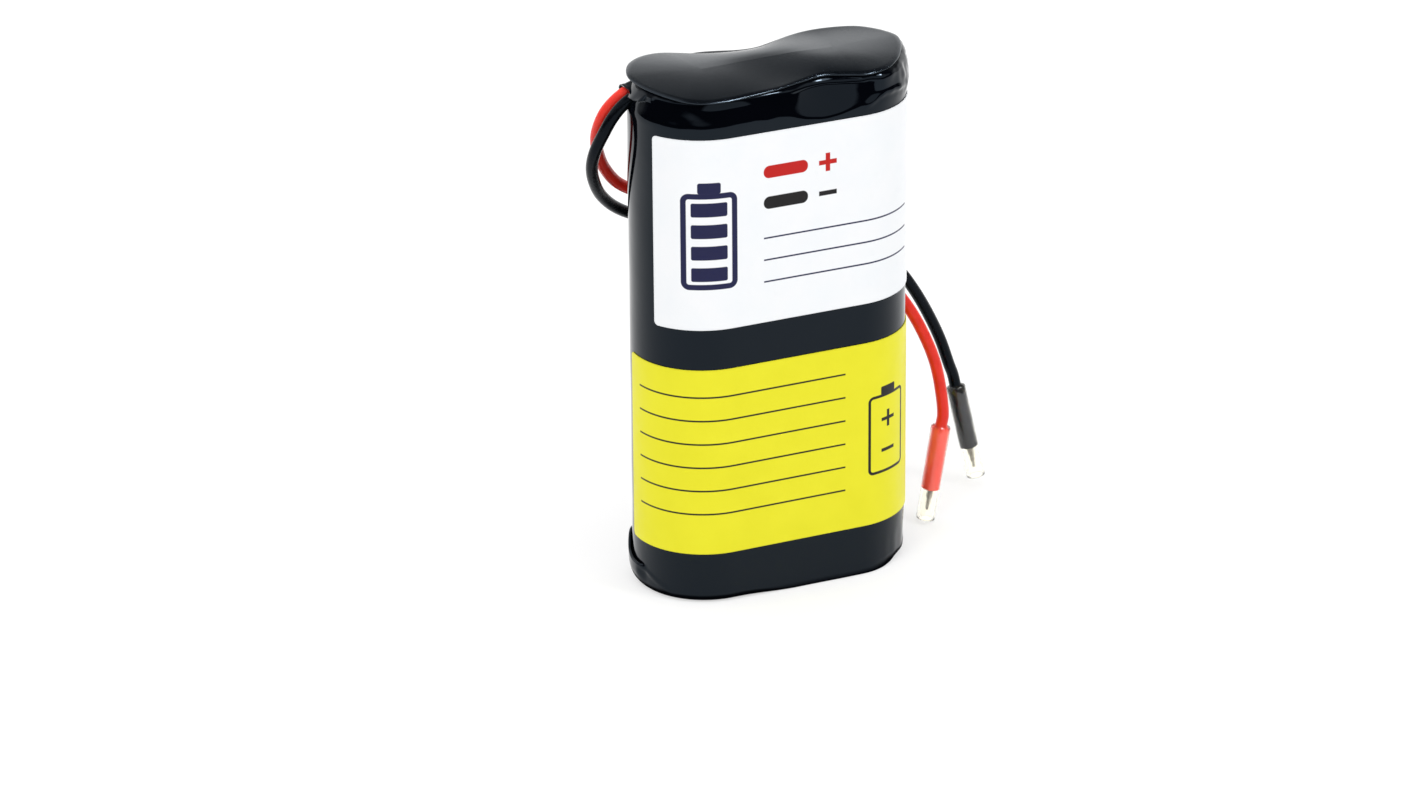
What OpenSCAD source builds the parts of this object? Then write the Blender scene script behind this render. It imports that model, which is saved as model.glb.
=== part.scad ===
// Two-cell rechargeable battery pack, upright, with two flying leads.
// Origin: centre of the base. +X runs along the row of cells, -Y is the labelled front, +Z is up.

/* [Cells] */
// Diameter of a bare cell can
can_d = 18.2; // [17.8:0.1:18.6]
// Height of a cell, from the can's base to the top of its cap
cell_h = 65; // [60:0.5:70]
// Wall of the can
can_wall = 0.25; // [0.2:0.05:0.4]
// Thickness of the can's base
can_base = 0.3; // [0.2:0.05:0.5]
// Thickness of the film jacket on each cell
jacket_t = 0.12; // [0.08:0.02:0.2]
// Glue line between the two cells
cell_gap = 0.1; // [0.05:0.05:0.4]
// Radius of the flat top of the positive cap
cap_top_r = 4.5; // [3.5:0.1:5]
// How far the cap stands above the crimped rim
cap_rise = 0.45; // [0.4:0.05:0.9]
// Thickness of the cap's sheet
cap_t = 0.35; // [0.25:0.05:0.4]
// Depth of the rolled bead under the rim
bead_depth = 0.9; // [0.6:0.1:1.1]

/* [Cell ends] */
// Thickness of the insulating discs and of the paper ring on the rim
disc_t = 0.2; // [0.1:0.05:0.2]
// Thickness of the nickel strips
strip_t = 0.15; // [0.1:0.05:0.2]
// Width of the nickel strips that link the cells
link_w = 6; // [4:0.5:7]
// Length of the nickel strips that link the cells
link_l = 26; // [22:0.5:28]
// Width of the nickel strip that runs up the back
riser_w = 3; // [2:0.5:4]

/* [Protection board] */
// Clearance between the circuit board's corners and the spacer frame
board_gap = 0.35; // [0.2:0.05:0.6]
// Width of the circuit board
board_w = 10.6; // [9.6:0.2:11]
// Thickness of the circuit board
board_t = 0.8; // [0.6:0.1:1.2]
// Wall of the spacer frame around the board
frame_t = 1; // [0.8:0.1:1.2]

/* [Outer sleeve] */
// Thickness of the black shrink sleeve
film_t = 0.2; // [0.15:0.05:0.3]
// Rounding of the sleeve's lower edge
foot_r = 1.3; // [0.6:0.1:2]
// Rounding of the sleeve's upper edge
shoulder_r = 0.8; // [0.5:0.1:1.2]
// How far the sleeve leans in towards its upper edge
top_draw = 0.7; // [0.4:0.1:0.8]
// How far the waist is drawn in at the top of the front
front_waist_depth = 2.2; // [1.5:0.1:2.4]
// How far right of the middle the front's waist is
front_waist_x = 4; // [0:0.5:5]
// Radius of the hollow at the front's waist
front_waist_r = 9; // [7:0.5:12]
// How far the waist is drawn in at the top of the back
back_waist_depth = 2.6; // [1.5:0.1:2.8]
// How far right of the middle the back's waist is
back_waist_x = 0.5; // [0:0.5:2]
// Radius of the hollow at the back's waist
back_waist_r = 12; // [9:0.5:14]
// Height of both hollows, down from the sleeve's top
waist_h = 4.5; // [3.5:0.5:8]
// End radius of the openings that the sleeve leaves in the base and the top
mouth_r = 6; // [4:0.5:7]
// Thickness of the base plate
base_plate_t = 0.5; // [0.3:0.1:0.8]
// Thickness of the cover plate on the top
cover_t = 0.6; // [0.4:0.1:1]
// Thickness of the insulating sheets under and over the board
sheet_t = 0.3; // [0.2:0.05:0.4]

/* [Labels] */
// Height of each label
label_h = 26; // [20:0.5:28]
// Thickness of each label
label_t = 0.1; // [0.06:0.02:0.2]
// Height of the yellow label's lower edge above the base
yellow_z = 7.1; // [4:0.1:10]
// Height of the white label's lower edge above the base
white_z = 38.7; // [36:0.1:39]
// Length of the yellow label
yellow_l = 55; // [45:1:66]
// Length of the white label
white_l = 50; // [40:1:56]
// Angle that the yellow label wraps round the left end
yellow_wrap = 97; // [85:1:150]
// Angle that the white label wraps round the left end
white_wrap = 64; // [50:1:80]

/* [Leads] */
// Diameter of a lead over its insulation
lead_d = 1.6; // [1.4:0.1:1.8]
// Diameter of a lead's bare strands
strand_d = 0.76; // [0.5:0.02:0.9]
// Length of the bare strands beyond the insulation
strand_l = 3; // [2:0.5:4]
// Outer diameter of the clear end sleeves
tube_d = 2.6; // [2.4:0.1:3]
// Length of the clear end sleeves
tube_l = 13.5; // [12.5:0.5:15]
// Length of insulated lead inside each end sleeve
tube_grip = 9.2; // [7:0.1:9.6]

/* [Hidden] */
$fn = 96;

// Clearances between neighbouring pieces
jacket_clear = 0.03;
film_clear = 0.05;
label_clear = 0.02;
roll_clear = 0.1;
seal_clear = 0.05;
glue_clear = 0.03;
lead_clear = 0.1;
tube_clear = 0.1;
slot_clear = 0.3;

// Overshoot of a cutting tool past the face it opens
cut = 1;

// Plan of the pack
can_r = can_d / 2;
jacket_r = can_r + jacket_clear + jacket_t;
pitch = 2 * jacket_r + cell_gap;
core_r = jacket_r + film_clear;
film_r = core_r + film_t;
label_r = film_r + label_clear;

// Heights of the stack, from the base up
plate_z = film_t;
foot_z = plate_z + base_plate_t;
link_z = foot_z + strip_t;
cell_z = link_z + strip_t;
cell_top_z = cell_z + cell_h;
sheet_z = cell_top_z + strip_t;
board_z = sheet_z + sheet_t;
board_top_z = board_z + board_t;
pad_t = 0.05;
pad_top_z = board_top_z + pad_t;
lead_z = pad_top_z + lead_d / 2;
lid_z = lead_z + lead_d / 2 + lead_clear;
flange_z = lid_z + sheet_t;
film_top_z = flange_z + film_t;

// Levels inside a cell, above the can's base
rim_z = cell_h - cap_rise;
rim_chamfer = 0.3;
rim_open_r = 6.4;
base_chamfer = 0.4;
bead_drop = 2.95;
bead_z = rim_z - bead_drop;
bead_half = 0.7;
bead_flat = 0.3;
bead_inside = 0.1;
can_inner_r = can_r - can_wall;
gasket_lip = 0.25;
gasket_z = bead_z + bead_half + bead_inside + seal_clear;
vent_t = 0.3;
vent_z = gasket_z + gasket_lip;
cap_flange_z = vent_z + vent_t;
gasket_top_z = rim_z - can_wall - seal_clear;
seat_r = can_inner_r - seal_clear - 0.75;
cap_flange_r = seat_r - seal_clear;
cap_foot_r = cap_top_r + 0.7;
gasket_open_r = rim_open_r - 0.2;
vent_slots = 4;
vent_slot_w = 1.6;
roll_r = can_inner_r - roll_clear;
roll_bore_r = 1.5;
roll_z = can_base + disc_t;
roll_top_z = bead_z - bead_half - bead_inside - 1.2;
upper_hole_r = 4.5;
tab_w = 4;
tab_x = 3;
paper_ring_r = can_r - 0.4;
paper_ring_bore_r = cap_foot_r + 0.1;
jacket_fold_r = rim_open_r - 0.2;
jacket_foot_z = base_chamfer;

// The valley between the cells: glue, insulating paper and the strip that runs up the back
glue_in_y = 2.5;
glue_y = 6;
glue_foot = 3;
glue_head = 6;
paper_w = riser_w + 1.2;
riser_y = glue_y + sheet_t;
riser_foot_l = 8;

// The spacer frame, sheets and plates follow the sleeve's waist
bite_z = film_top_z - waist_h;
draw_z = bite_z + 0.2;
front_waist = [front_waist_x, front_waist_depth, front_waist_r, -1];
back_waist = [back_waist_x, back_waist_depth, back_waist_r, 1];
frame_r = core_r - top_draw - 0.25;
lid_r = core_r - top_draw - shoulder_r - 0.1;
base_r = core_r - foot_r + film_t - 0.1;
cover_r = film_r - 0.5;
cover_gap = 0.1;
board_sheet_r = core_r - 0.2;
board_sheet_gap = film_r - riser_y + 0.3;

// The board's outline, pads and parts
board_x = 0.25;
board_right_x = pitch / 2 + sqrt(pow(frame_r - frame_t, 2) - pow(board_w / 2 + board_gap, 2));
board_l = 2 * (board_right_x - board_x);
tongue_w = 4;
tongue_gap = 0.8;
tongue_x = board_right_x + tongue_gap;
tongue_slot = 0.2;
plus_pad = [2.8, tongue_w];
minus_pad = [riser_w + 0.4, 2.2];
lead_pad = [3, 1.7];
minus_pad_y = board_w / 2 - minus_pad[1] / 2 - 0.1;
switch_chip = [3, 4.4, 1];
switch_chip_x = [-5.6, 5.2];
switch_chip_y = -1.6;
control_body = [2.9, 1.6, 1.05];
control_at = [0, -2.6];
passive = [1.6, 0.8, 0.5];
resistor_at = [[-1.6, 0.2], [1.6, 0.2], [8.6, 3.4]];
capacitor_at = [[-8.6, -3.4], [8.6, -3.4]];
pin_w = 0.35;
pin_l = 0.6;
pin_h = 0.2;

// Where the leads start, on the left end of the board
lead_inset = 0.5;
lead_x = board_x - board_l / 2 + lead_inset;
black_y = 2.2;
red_y = 4.3;

// Routes of the two leads, from the solder joint to just above the end sleeve
black_route = [
    [lead_x, black_y, lead_z], [-15.4, 2.2, 68.1], [-17.4, 2.2, 67.7], [-19.1, 2.4, 66.6], [-20.4, 2.8, 64.9],
    [-21.4, 3.4, 62.7], [-22.1, 4.5, 60.1], [-21.9, 6.2, 57.2], [-20.8, 8, 54.3], [-19.1, 9.8, 51.6],
    [-16.5, 11.4, 49], [-13, 12.5, 46.9], [-8.5, 12.9, 45.6], [-4, 12.9, 44.9], [0.5, 12.9, 44.1],
    [5, 12.9, 43.2], [9.5, 12.8, 42], [14, 12.6, 40.4], [18.2, 12.4, 38.3], [21.8, 12.3, 35.7],
    [24.8, 12.2, 32.6], [27.3, 12.2, 28.9], [29.4, 12.2, 25], [31.1, 12.2, 21.2], [32.3, 12.1, 17.6]];
red_route = [
    [lead_x, red_y, lead_z], [-15.4, 4.3, 68.1], [-17.4, 4.4, 67.7], [-19, 4.7, 66.6], [-20.2, 5.3, 65],
    [-20.8, 6.1, 63], [-20.8, 7.2, 60.7], [-20, 8.5, 58], [-18.6, 9.7, 55.3], [-16.5, 10.6, 52.7],
    [-13.5, 11, 50.8], [-10, 10.9, 49.4], [-6, 10.7, 48], [-2, 10.7, 46.5], [2, 10.7, 44.9],
    [6, 10.8, 43.2], [10, 10.7, 41.4], [14, 9.9, 39.2], [17.4, 8.1, 36.7], [20.3, 5.8, 33.8],
    [22.5, 4.2, 30.4], [24.2, 3.2, 26.7], [25.5, 2.6, 22.9], [26.2, 2.2, 19]];
black_mouth = [33.2, 11.9, 14.4];
red_mouth = [26.2, 1.9, 13.8];
black_aim = [35.7, 10.2, 1];
red_aim = [24.1, 2.1, 0.8];
lead_straight = 1.5;
lead_sides = 8;

// Slot through which the leads leave the left end, dipping a little on the way
slot_dip = 1.25;
slot_y = [black_y - lead_d / 2 - slot_clear, red_y + lead_d / 2 + slot_clear];
slot_z = lead_z - lead_d / 2 - slot_clear - slot_dip;

// Unit vector from one point to another
function aim(from, to) = (to - from) / norm(to - from);

// A lead's own points, with its straight end inside the sleeve
function lead_path(route, mouth, aim_at) =
    let (way = aim(mouth, aim_at))
    concat(route, [mouth - lead_straight * way, mouth, mouth + tube_grip * way]);

// Direction of travel at point i of a path
function heading(path, i) =
    aim(path[max(i - 1, 0)], path[min(i + 1, len(path) - 1)]);

// The corners of one ring of a tube around a path
function ring_points(at, way, r, sides) =
    let (across = cross(way, [0, 1, 0]), u = across / norm(across), v = cross(way, u))
    [for (k = [0:sides - 1]) at + r * (cos(360 * k / sides) * u + sin(360 * k / sides) * v)];

// Places children along the line from one point towards another
module along(from, to) {
    way = aim(from, to);
    translate(from)
        rotate([0, acos(way[2]), atan2(way[1], way[0])])
            children();
}

// Half of a disc, on the +X side
module half_disc(r) {
    intersection() {
        circle(r);
        translate([0, -2 * r])
            square([2 * r, 4 * r]);
    }
}

// Outline with a straight middle and a half circle at each end
module stadium(r) {
    square([pitch, 2 * r], center = true);
    for (s = [0, 1])
        mirror([s, 0])
            translate([pitch / 2, 0])
                half_disc(r);
}

// How far a waist leans in over its height
function bite_tilt(waist) = atan(waist[1] / waist_h);

// How far inside the sleeve's waist a piece within it stays, with a clearance
function within(waist) = waist[1] + film_t / cos(bite_tilt(waist)) + 0.15;

// The same outline, drawn in at its middle, with each waist a distance in from the sleeve's outside
module peanut(r, front_in, back_in) {
    difference() {
        stadium(r);
        translate([front_waist_x, -film_r - front_waist_r])
            circle(front_waist_r + front_in);
        translate([back_waist_x, film_r + back_waist_r])
            circle(back_waist_r + back_in);
    }
}

// Section of a block with a rounded foot, which leans in from a height and is bevelled at its top
module rounded_section(r, h, low_r, high_r, lean_z) {
    difference() {
        polygon([[0, 0], [r, 0], [r, lean_z], [r - 0.3 * top_draw, (lean_z + h - high_r) / 2],
            [r - top_draw, h - high_r], [r - top_draw - 0.4 * high_r, h - 0.3 * high_r],
            [r - top_draw - high_r, h], [0, h]]);
        translate([r - low_r, 0])
            difference() {
                translate([0, -cut])
                    square([low_r + cut, low_r + cut]);
                translate([0, low_r])
                    circle(low_r);
            }
    }
}

// Stadium-shaped block with a rounded foot and a top that leans in
module rounded_block(r, h, low_r, high_r, lean_z) {
    for (s = [0, 1])
        mirror([s, 0, 0])
            translate([pitch / 2, 0, 0])
                rotate(-90)
                    rotate_extrude(angle = 180)
                        rounded_section(r, h, low_r, high_r, lean_z);
    for (s = [0, 1])
        mirror([0, s, 0])
            translate([-pitch / 2, 0, 0])
                rotate([90, 0, 90])
                    linear_extrude(pitch)
                        rounded_section(r, h, low_r, high_r, lean_z);
}

// The leaning hollows that draw in the sleeve's waist, as cones that stand outside it, grown by a wall
module waist_hollows(grow) {
    below = 1;
    above = 1;
    for (w = [front_waist, back_waist]) {
        lean = w[1] / waist_h;
        wall = grow / cos(bite_tilt(w));
        translate([w[0], w[3] * (film_r + w[2]), bite_z - below])
            cylinder(r1 = w[2] - below * lean + wall, r2 = w[2] + w[1] + above * lean + wall,
                h = waist_h + below + above);
    }
}

// Plan of the slot that lets the leads out of the left end, of a depth from the sleeve's outside
module lead_slot(depth) {
    translate([-pitch / 2 - film_r - cut, slot_y[0]])
        square([depth + cut, slot_y[1] - slot_y[0]]);
}

// Black shrink sleeve, open over the middle of the base and the top, with the leads' slot
module outer_sleeve() {
    color([0.03, 0.03, 0.04])
        difference() {
            rounded_block(film_r, film_top_z, foot_r, shoulder_r, draw_z);
            waist_hollows(0);
            difference() {
                translate([0, 0, film_t])
                    rounded_block(core_r, flange_z - film_t, foot_r - film_t, shoulder_r - film_t, draw_z - film_t);
                waist_hollows(film_t);
            }
            translate([0, 0, -cut])
                linear_extrude(film_top_z + 2 * cut)
                    stadium(mouth_r);
            translate([0, 0, slot_z])
                linear_extrude(lid_z - slot_z)
                    lead_slot(film_r / 2);
        }
}

// Figure-of-eight cover plate bonded over the sleeve's top
module cover_plate() {
    color([0.07, 0.07, 0.08])
        translate([0, 0, film_top_z])
            linear_extrude(cover_t)
                peanut(cover_r, front_waist_depth + cover_gap, back_waist_depth + cover_gap);
}

// Insulating plate under the cells
module base_plate() {
    color([0.1, 0.1, 0.1])
        translate([0, 0, plate_z])
            linear_extrude(base_plate_t)
                stadium(base_r);
}

// Wrapped label of a length, starting an angle round the left end
module label(z, length, wrap) {
    arc_r = label_r + label_t;
    right_wrap = (length - pitch) / arc_r * 180 / PI - wrap;
    far = 4 * film_r;
    left = [-pitch / 2, 0];
    right = [pitch / 2, 0];
    translate([0, 0, z])
        linear_extrude(label_h)
            difference() {
                stadium(arc_r);
                stadium(label_r);
                polygon([left, left + far * [cos(270 - wrap), sin(270 - wrap)], [-2 * far, far],
                    [2 * far, far], right + far * [cos(270 + right_wrap), sin(270 + right_wrap)], right]);
            }
}

module white_label() {
    color("white") label(white_z, white_l, white_wrap);
}

module yellow_label() {
    color([0.95, 0.9, 0.15]) label(yellow_z, yellow_l, yellow_wrap);
}

// Places children at the left (-1) or right (1) cell, on the cell's own base
module at_cell(side) {
    translate([side * pitch / 2, 0, cell_z])
        children();
}

// Drawn steel can with its rolled bead and crimped rim
module can(side) {
    color([0.75, 0.75, 0.77])
        at_cell(side)
            rotate_extrude()
                polygon([
                    [0, 0], [can_r - base_chamfer, 0], [can_r, base_chamfer],
                    [can_r, bead_z - bead_half], [can_r - bead_depth, bead_z - bead_flat],
                    [can_r - bead_depth, bead_z + bead_flat], [can_r, bead_z + bead_half],
                    [can_r, rim_z - rim_chamfer], [can_r - rim_chamfer, rim_z], [rim_open_r, rim_z],
                    [rim_open_r, rim_z - can_wall], [can_inner_r, rim_z - can_wall],
                    [can_inner_r, bead_z + bead_half + bead_inside],
                    [can_inner_r - bead_depth, bead_z + bead_flat + bead_inside],
                    [can_inner_r - bead_depth, bead_z - bead_flat - bead_inside],
                    [can_inner_r, bead_z - bead_half - bead_inside],
                    [can_inner_r, can_base + disc_t], [can_inner_r - disc_t, can_base], [0, can_base]]);
}

// Wound electrodes and separator
module electrode_roll(side) {
    color([0.25, 0.25, 0.27])
        at_cell(side)
            translate([0, 0, roll_z])
                difference() {
                    cylinder(r = roll_r, h = roll_top_z - roll_z);
                    translate([0, 0, -cut])
                        cylinder(r = roll_bore_r, h = cell_h);
                }
}

// Insulating disc between the roll and the can's base
module lower_disc(side) {
    color([0.9, 0.9, 0.85])
        at_cell(side)
            translate([0, 0, can_base])
                cylinder(r = can_inner_r - disc_t - seal_clear, h = disc_t);
}

// Insulating ring on top of the roll
module upper_disc(side) {
    color([0.9, 0.9, 0.85])
        at_cell(side)
            translate([0, 0, roll_top_z])
                difference() {
                    cylinder(r = roll_r, h = disc_t);
                    translate([0, 0, -cut])
                        cylinder(r = upper_hole_r, h = disc_t + 2 * cut);
                }
}

// Aluminium tab from the roll to the vent disc
module inner_tab(side) {
    color([0.8, 0.8, 0.82])
        at_cell(side)
            translate([tab_x, -tab_w / 2, roll_top_z])
                cube([strip_t, tab_w, vent_z - roll_top_z]);
}

// Safety vent disc, thinner at its scored middle
module vent_disc(side) {
    scored_r = cap_flange_r / 2;
    scored_t = vent_t / 2;
    color([0.8, 0.8, 0.82])
        at_cell(side)
            translate([0, 0, vent_z])
                difference() {
                    cylinder(r = cap_flange_r, h = vent_t);
                    translate([0, 0, scored_t])
                        difference() {
                            cylinder(r = scored_r, h = vent_t);
                            translate([0, 0, -cut])
                                cylinder(r = scored_r - scored_t, h = vent_t + 2 * cut);
                        }
                }
}

// Seal that insulates the cap from the crimped rim
module rim_gasket(side) {
    color([0.85, 0.85, 0.8])
        at_cell(side)
            rotate_extrude()
                polygon([
                    [gasket_open_r, gasket_z], [can_inner_r - seal_clear, gasket_z],
                    [can_inner_r - seal_clear, gasket_top_z], [gasket_open_r, gasket_top_z],
                    [gasket_open_r, cap_flange_z + cap_t], [seat_r, cap_flange_z + cap_t],
                    [seat_r, vent_z], [gasket_open_r, vent_z]]);
}

// Pressed positive cap with gas slots in its flank
module positive_cap(side) {
    color([0.8, 0.8, 0.82])
        at_cell(side)
            difference() {
                rotate_extrude()
                    polygon([
                        [0, cell_h], [cap_top_r, cell_h], [cap_foot_r, cap_flange_z + cap_t],
                        [cap_flange_r, cap_flange_z + cap_t], [cap_flange_r, cap_flange_z],
                        [cap_foot_r - cap_t, cap_flange_z], [cap_top_r - cap_t, cell_h - cap_t],
                        [0, cell_h - cap_t]]);
                for (k = [0:vent_slots - 1])
                    rotate(45 + 360 / vent_slots * k)
                        translate([cap_top_r - 2 * cap_t, -vent_slot_w / 2, cap_flange_z + cap_t])
                            cube([3 * cap_t + cap_foot_r - cap_top_r, vent_slot_w,
                                cell_h - cap_flange_z - 3 * cap_t]);
            }
}

// Paper ring that insulates the rim from the strip
module paper_ring(side) {
    color([0.2, 0.5, 0.3])
        at_cell(side)
            translate([0, 0, rim_z])
                difference() {
                    cylinder(r = paper_ring_r, h = disc_t);
                    translate([0, 0, -cut])
                        cylinder(r = paper_ring_bore_r, h = disc_t + 2 * cut);
                }
}

// Film jacket shrunk on the can and folded over the paper ring
module jacket(side) {
    fold_z = rim_z + disc_t;
    color([0.15, 0.35, 0.6])
        at_cell(side)
            rotate_extrude()
                polygon([
                    [can_r + jacket_clear, jacket_foot_z], [jacket_r, jacket_foot_z],
                    [jacket_r, fold_z + jacket_t], [jacket_fold_r, fold_z + jacket_t],
                    [jacket_fold_r, fold_z], [can_r + jacket_clear, fold_z]]);
}

// Hot-melt beads in the front and back valleys
module glue_beads() {
    color([0.9, 0.85, 0.7])
        for (s = [0, 1])
            mirror([0, s, 0])
                translate([0, 0, cell_z + glue_foot])
                    linear_extrude(cell_h - glue_foot - glue_head)
                        difference() {
                            translate([-pitch / 2, glue_in_y])
                                square([pitch, glue_y - glue_in_y]);
                            for (x = [-pitch / 2, pitch / 2])
                                translate([x, 0])
                                    circle(jacket_r + glue_clear);
                        }
}

// Strip that links the two can bases
module negative_strip() {
    color([0.7, 0.7, 0.68])
        translate([-link_l / 2, -link_w / 2, link_z])
            cube([link_l, link_w, strip_t]);
}

// Strip that carries the negative pole up the back valley to the board
module negative_riser() {
    color([0.7, 0.7, 0.68])
        translate([-riser_w / 2, 0, 0]) {
            translate([0, riser_y + strip_t - riser_foot_l, foot_z])
                cube([riser_w, riser_foot_l, strip_t]);
            translate([0, riser_y, foot_z])
                cube([riser_w, strip_t, pad_top_z + strip_t - foot_z]);
            translate([0, minus_pad_y - minus_pad[1] / 2, pad_top_z])
                cube([riser_w, riser_y + strip_t - minus_pad_y + minus_pad[1] / 2, strip_t]);
        }
}

// Insulating paper between the back strip and the cells
module riser_paper() {
    color([0.35, 0.4, 0.3])
        translate([-paper_w / 2, glue_y, cell_z])
            cube([paper_w, sheet_t, cell_h - cap_rise]);
}

// Strip that links the two caps, with a tongue folded over the end of the board
module positive_strip() {
    color([0.7, 0.7, 0.68]) {
        translate([-link_l / 2, -link_w / 2, cell_top_z])
            cube([link_l, link_w, strip_t]);
        translate([link_l / 2 - tongue_w, -tongue_w / 2, cell_top_z])
            cube([tongue_x + strip_t - link_l / 2 + tongue_w, tongue_w, strip_t]);
        translate([tongue_x, -tongue_w / 2, cell_top_z])
            cube([strip_t, tongue_w, pad_top_z + strip_t - cell_top_z]);
        translate([board_right_x - plus_pad[0], -tongue_w / 2, pad_top_z])
            cube([tongue_x + strip_t - board_right_x + plus_pad[0], tongue_w, strip_t]);
    }
}

// Insulating sheet between the cells and the board
module board_sheet() {
    color([0.4, 0.45, 0.35])
        translate([0, 0, sheet_z])
            linear_extrude(sheet_t)
                difference() {
                    peanut(board_sheet_r, board_sheet_gap, board_sheet_gap);
                    translate([tongue_x - tongue_slot, -tongue_w / 2 - tongue_slot])
                        square([strip_t + 2 * tongue_slot, tongue_w + 2 * tongue_slot]);
                    lead_slot(film_r / 4);
                }
}

// Circuit board
module circuit_board() {
    color([0.05, 0.3, 0.15])
        translate([board_x - board_l / 2, -board_w / 2, board_z])
            cube([board_l, board_w, board_t]);
}

// One flat pad on the board, centred on a point
module pad(at, size) {
    translate([at[0] - size[0] / 2, at[1] - size[1] / 2, board_top_z])
        cube([size[0], size[1], pad_t]);
}

// Centre of a lead's pad on the board, in the lead's own row
function lead_pad_at(row_y) = [lead_x + lead_pad[0] / 2, row_y];

// Gold pads for the two strips and the two leads
module board_pads() {
    color([0.85, 0.7, 0.3]) {
        pad([board_right_x - plus_pad[0] / 2, 0], plus_pad);
        pad([0, minus_pad_y], minus_pad);
        pad(lead_pad_at(black_y), lead_pad);
        pad(lead_pad_at(red_y), lead_pad);
    }
}

// A chip's body with a row of pins along two sides
module chip(body, pins) {
    step = body[0] / pins;
    translate([-body[0] / 2, -body[1] / 2, pin_h / 2])
        cube([body[0], body[1], body[2] - pin_h / 2]);
    for (k = [0:pins - 1])
        translate([(k + 0.5) * step - body[0] / 2 - pin_w / 2, -body[1] / 2 - pin_l, 0])
            cube([pin_w, body[1] + 2 * pin_l, pin_h]);
}

// The two switching chips
module switch_chips() {
    color([0.1, 0.1, 0.1])
        for (x = switch_chip_x)
            translate([x, switch_chip_y, board_top_z])
                chip(switch_chip, 4);
}

// The chip that watches the cells' voltage and current
module control_chip() {
    color([0.1, 0.1, 0.1])
        translate([control_at[0], control_at[1], board_top_z])
            chip(control_body, 3);
}

// Small chip parts at a list of places
module chip_parts(places) {
    for (at = places)
        translate([at[0] - passive[0] / 2, at[1] - passive[1] / 2, board_top_z])
            cube(passive);
}

module chip_resistors() {
    color([0.12, 0.12, 0.14]) chip_parts(resistor_at);
}

module chip_capacitors() {
    color([0.6, 0.45, 0.3]) chip_parts(capacitor_at);
}

// Stripped inner end of the lead in a row, with the solder that holds it to its pad
module solder_joint(row_y) {
    at = lead_pad_at(row_y);
    translate([lead_x, row_y, lead_z])
        rotate([0, 90, 0])
            cylinder(d = strand_d, h = lead_pad[0]);
    translate([at[0], at[1], pad_top_z])
        cylinder(r1 = lead_pad[1] / 2, r2 = strand_d / 2, h = lead_z + strand_d / 4 - pad_top_z);
}

module solder_joints() {
    color([0.75, 0.76, 0.78]) {
        solder_joint(black_y);
        solder_joint(red_y);
    }
}

// Spacer frame around the board, cut away for the leads and the back strip
module spacer_frame() {
    color([0.9, 0.9, 0.88])
        difference() {
            translate([0, 0, board_z])
                linear_extrude(lid_z - board_z)
                    difference() {
                        peanut(frame_r, within(front_waist), within(back_waist));
                        peanut(frame_r - frame_t, within(front_waist) + frame_t, within(back_waist) + frame_t);
                        lead_slot(film_r);
                    }
            translate([-riser_w / 2 - slot_clear, 0, board_z - cut])
                cube([riser_w + 2 * slot_clear, film_r, pad_top_z + strip_t + slot_clear - board_z + cut]);
        }
}

// Insulating sheet over the board
module lid_sheet() {
    color([0.4, 0.45, 0.35])
        translate([0, 0, lid_z])
            linear_extrude(sheet_t)
                peanut(lid_r, within(front_waist), within(back_waist));
}

// Insulated lead swept along a path
module lead(path) {
    rings = len(path);
    n = lead_sides;
    points = [for (i = [0:rings - 1])
        each ring_points(path[i], heading(path, i), lead_d / 2, n)];
    sides = [for (i = [0:rings - 2], k = [0:n - 1])
        each [[i * n + k, i * n + (k + 1) % n, (i + 1) * n + k],
            [i * n + (k + 1) % n, (i + 1) * n + (k + 1) % n, (i + 1) * n + k]]];
    start = [for (k = [n - 1:-1:0]) k];
    end = [for (k = [0:n - 1]) (rings - 1) * n + k];
    polyhedron(points, concat([start], sides, [end]));
}

module red_lead() {
    color([0.85, 0.1, 0.08]) lead(lead_path(red_route, red_mouth, red_aim));
}

module black_lead() {
    color([0.05, 0.05, 0.05]) lead(lead_path(black_route, black_mouth, black_aim));
}

// Bare strands at the free end of a lead
module strands(mouth, aim_at) {
    color([0.75, 0.75, 0.76])
        along(mouth, aim_at)
            translate([0, 0, tube_grip])
                cylinder(d = strand_d, h = strand_l);
}

// Clear sleeve that slips over the end of a lead
module end_sleeve(mouth, aim_at) {
    color([0.9, 0.9, 0.88, 0.4])
        along(mouth, aim_at)
            difference() {
                cylinder(d = tube_d, h = tube_l);
                translate([0, 0, -cut])
                    cylinder(d = lead_d + 2 * tube_clear, h = tube_l + 2 * cut);
            }
}

outer_sleeve();
cover_plate();
base_plate();
white_label();
yellow_label();
can(-1);  // can_left
can(1);  // can_right
electrode_roll(-1);  // electrode_roll_left
electrode_roll(1);  // electrode_roll_right
lower_disc(-1);  // lower_disc_left
lower_disc(1);  // lower_disc_right
upper_disc(-1);  // upper_disc_left
upper_disc(1);  // upper_disc_right
inner_tab(-1);  // inner_tab_left
inner_tab(1);  // inner_tab_right
vent_disc(-1);  // vent_disc_left
vent_disc(1);  // vent_disc_right
rim_gasket(-1);  // rim_gasket_left
rim_gasket(1);  // rim_gasket_right
positive_cap(-1);  // positive_cap_left
positive_cap(1);  // positive_cap_right
paper_ring(-1);  // paper_ring_left
paper_ring(1);  // paper_ring_right
jacket(-1);  // jacket_left
jacket(1);  // jacket_right
glue_beads();
negative_strip();
negative_riser();
riser_paper();
positive_strip();
board_sheet();
circuit_board();
board_pads();
switch_chips();
control_chip();
chip_resistors();
chip_capacitors();
solder_joints();
spacer_frame();
lid_sheet();
red_lead();
black_lead();
strands(red_mouth, red_aim);  // red_strands
strands(black_mouth, black_aim);  // black_strands
end_sleeve(red_mouth, red_aim);  // red_end_sleeve
end_sleeve(black_mouth, black_aim);  // black_end_sleeve
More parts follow.
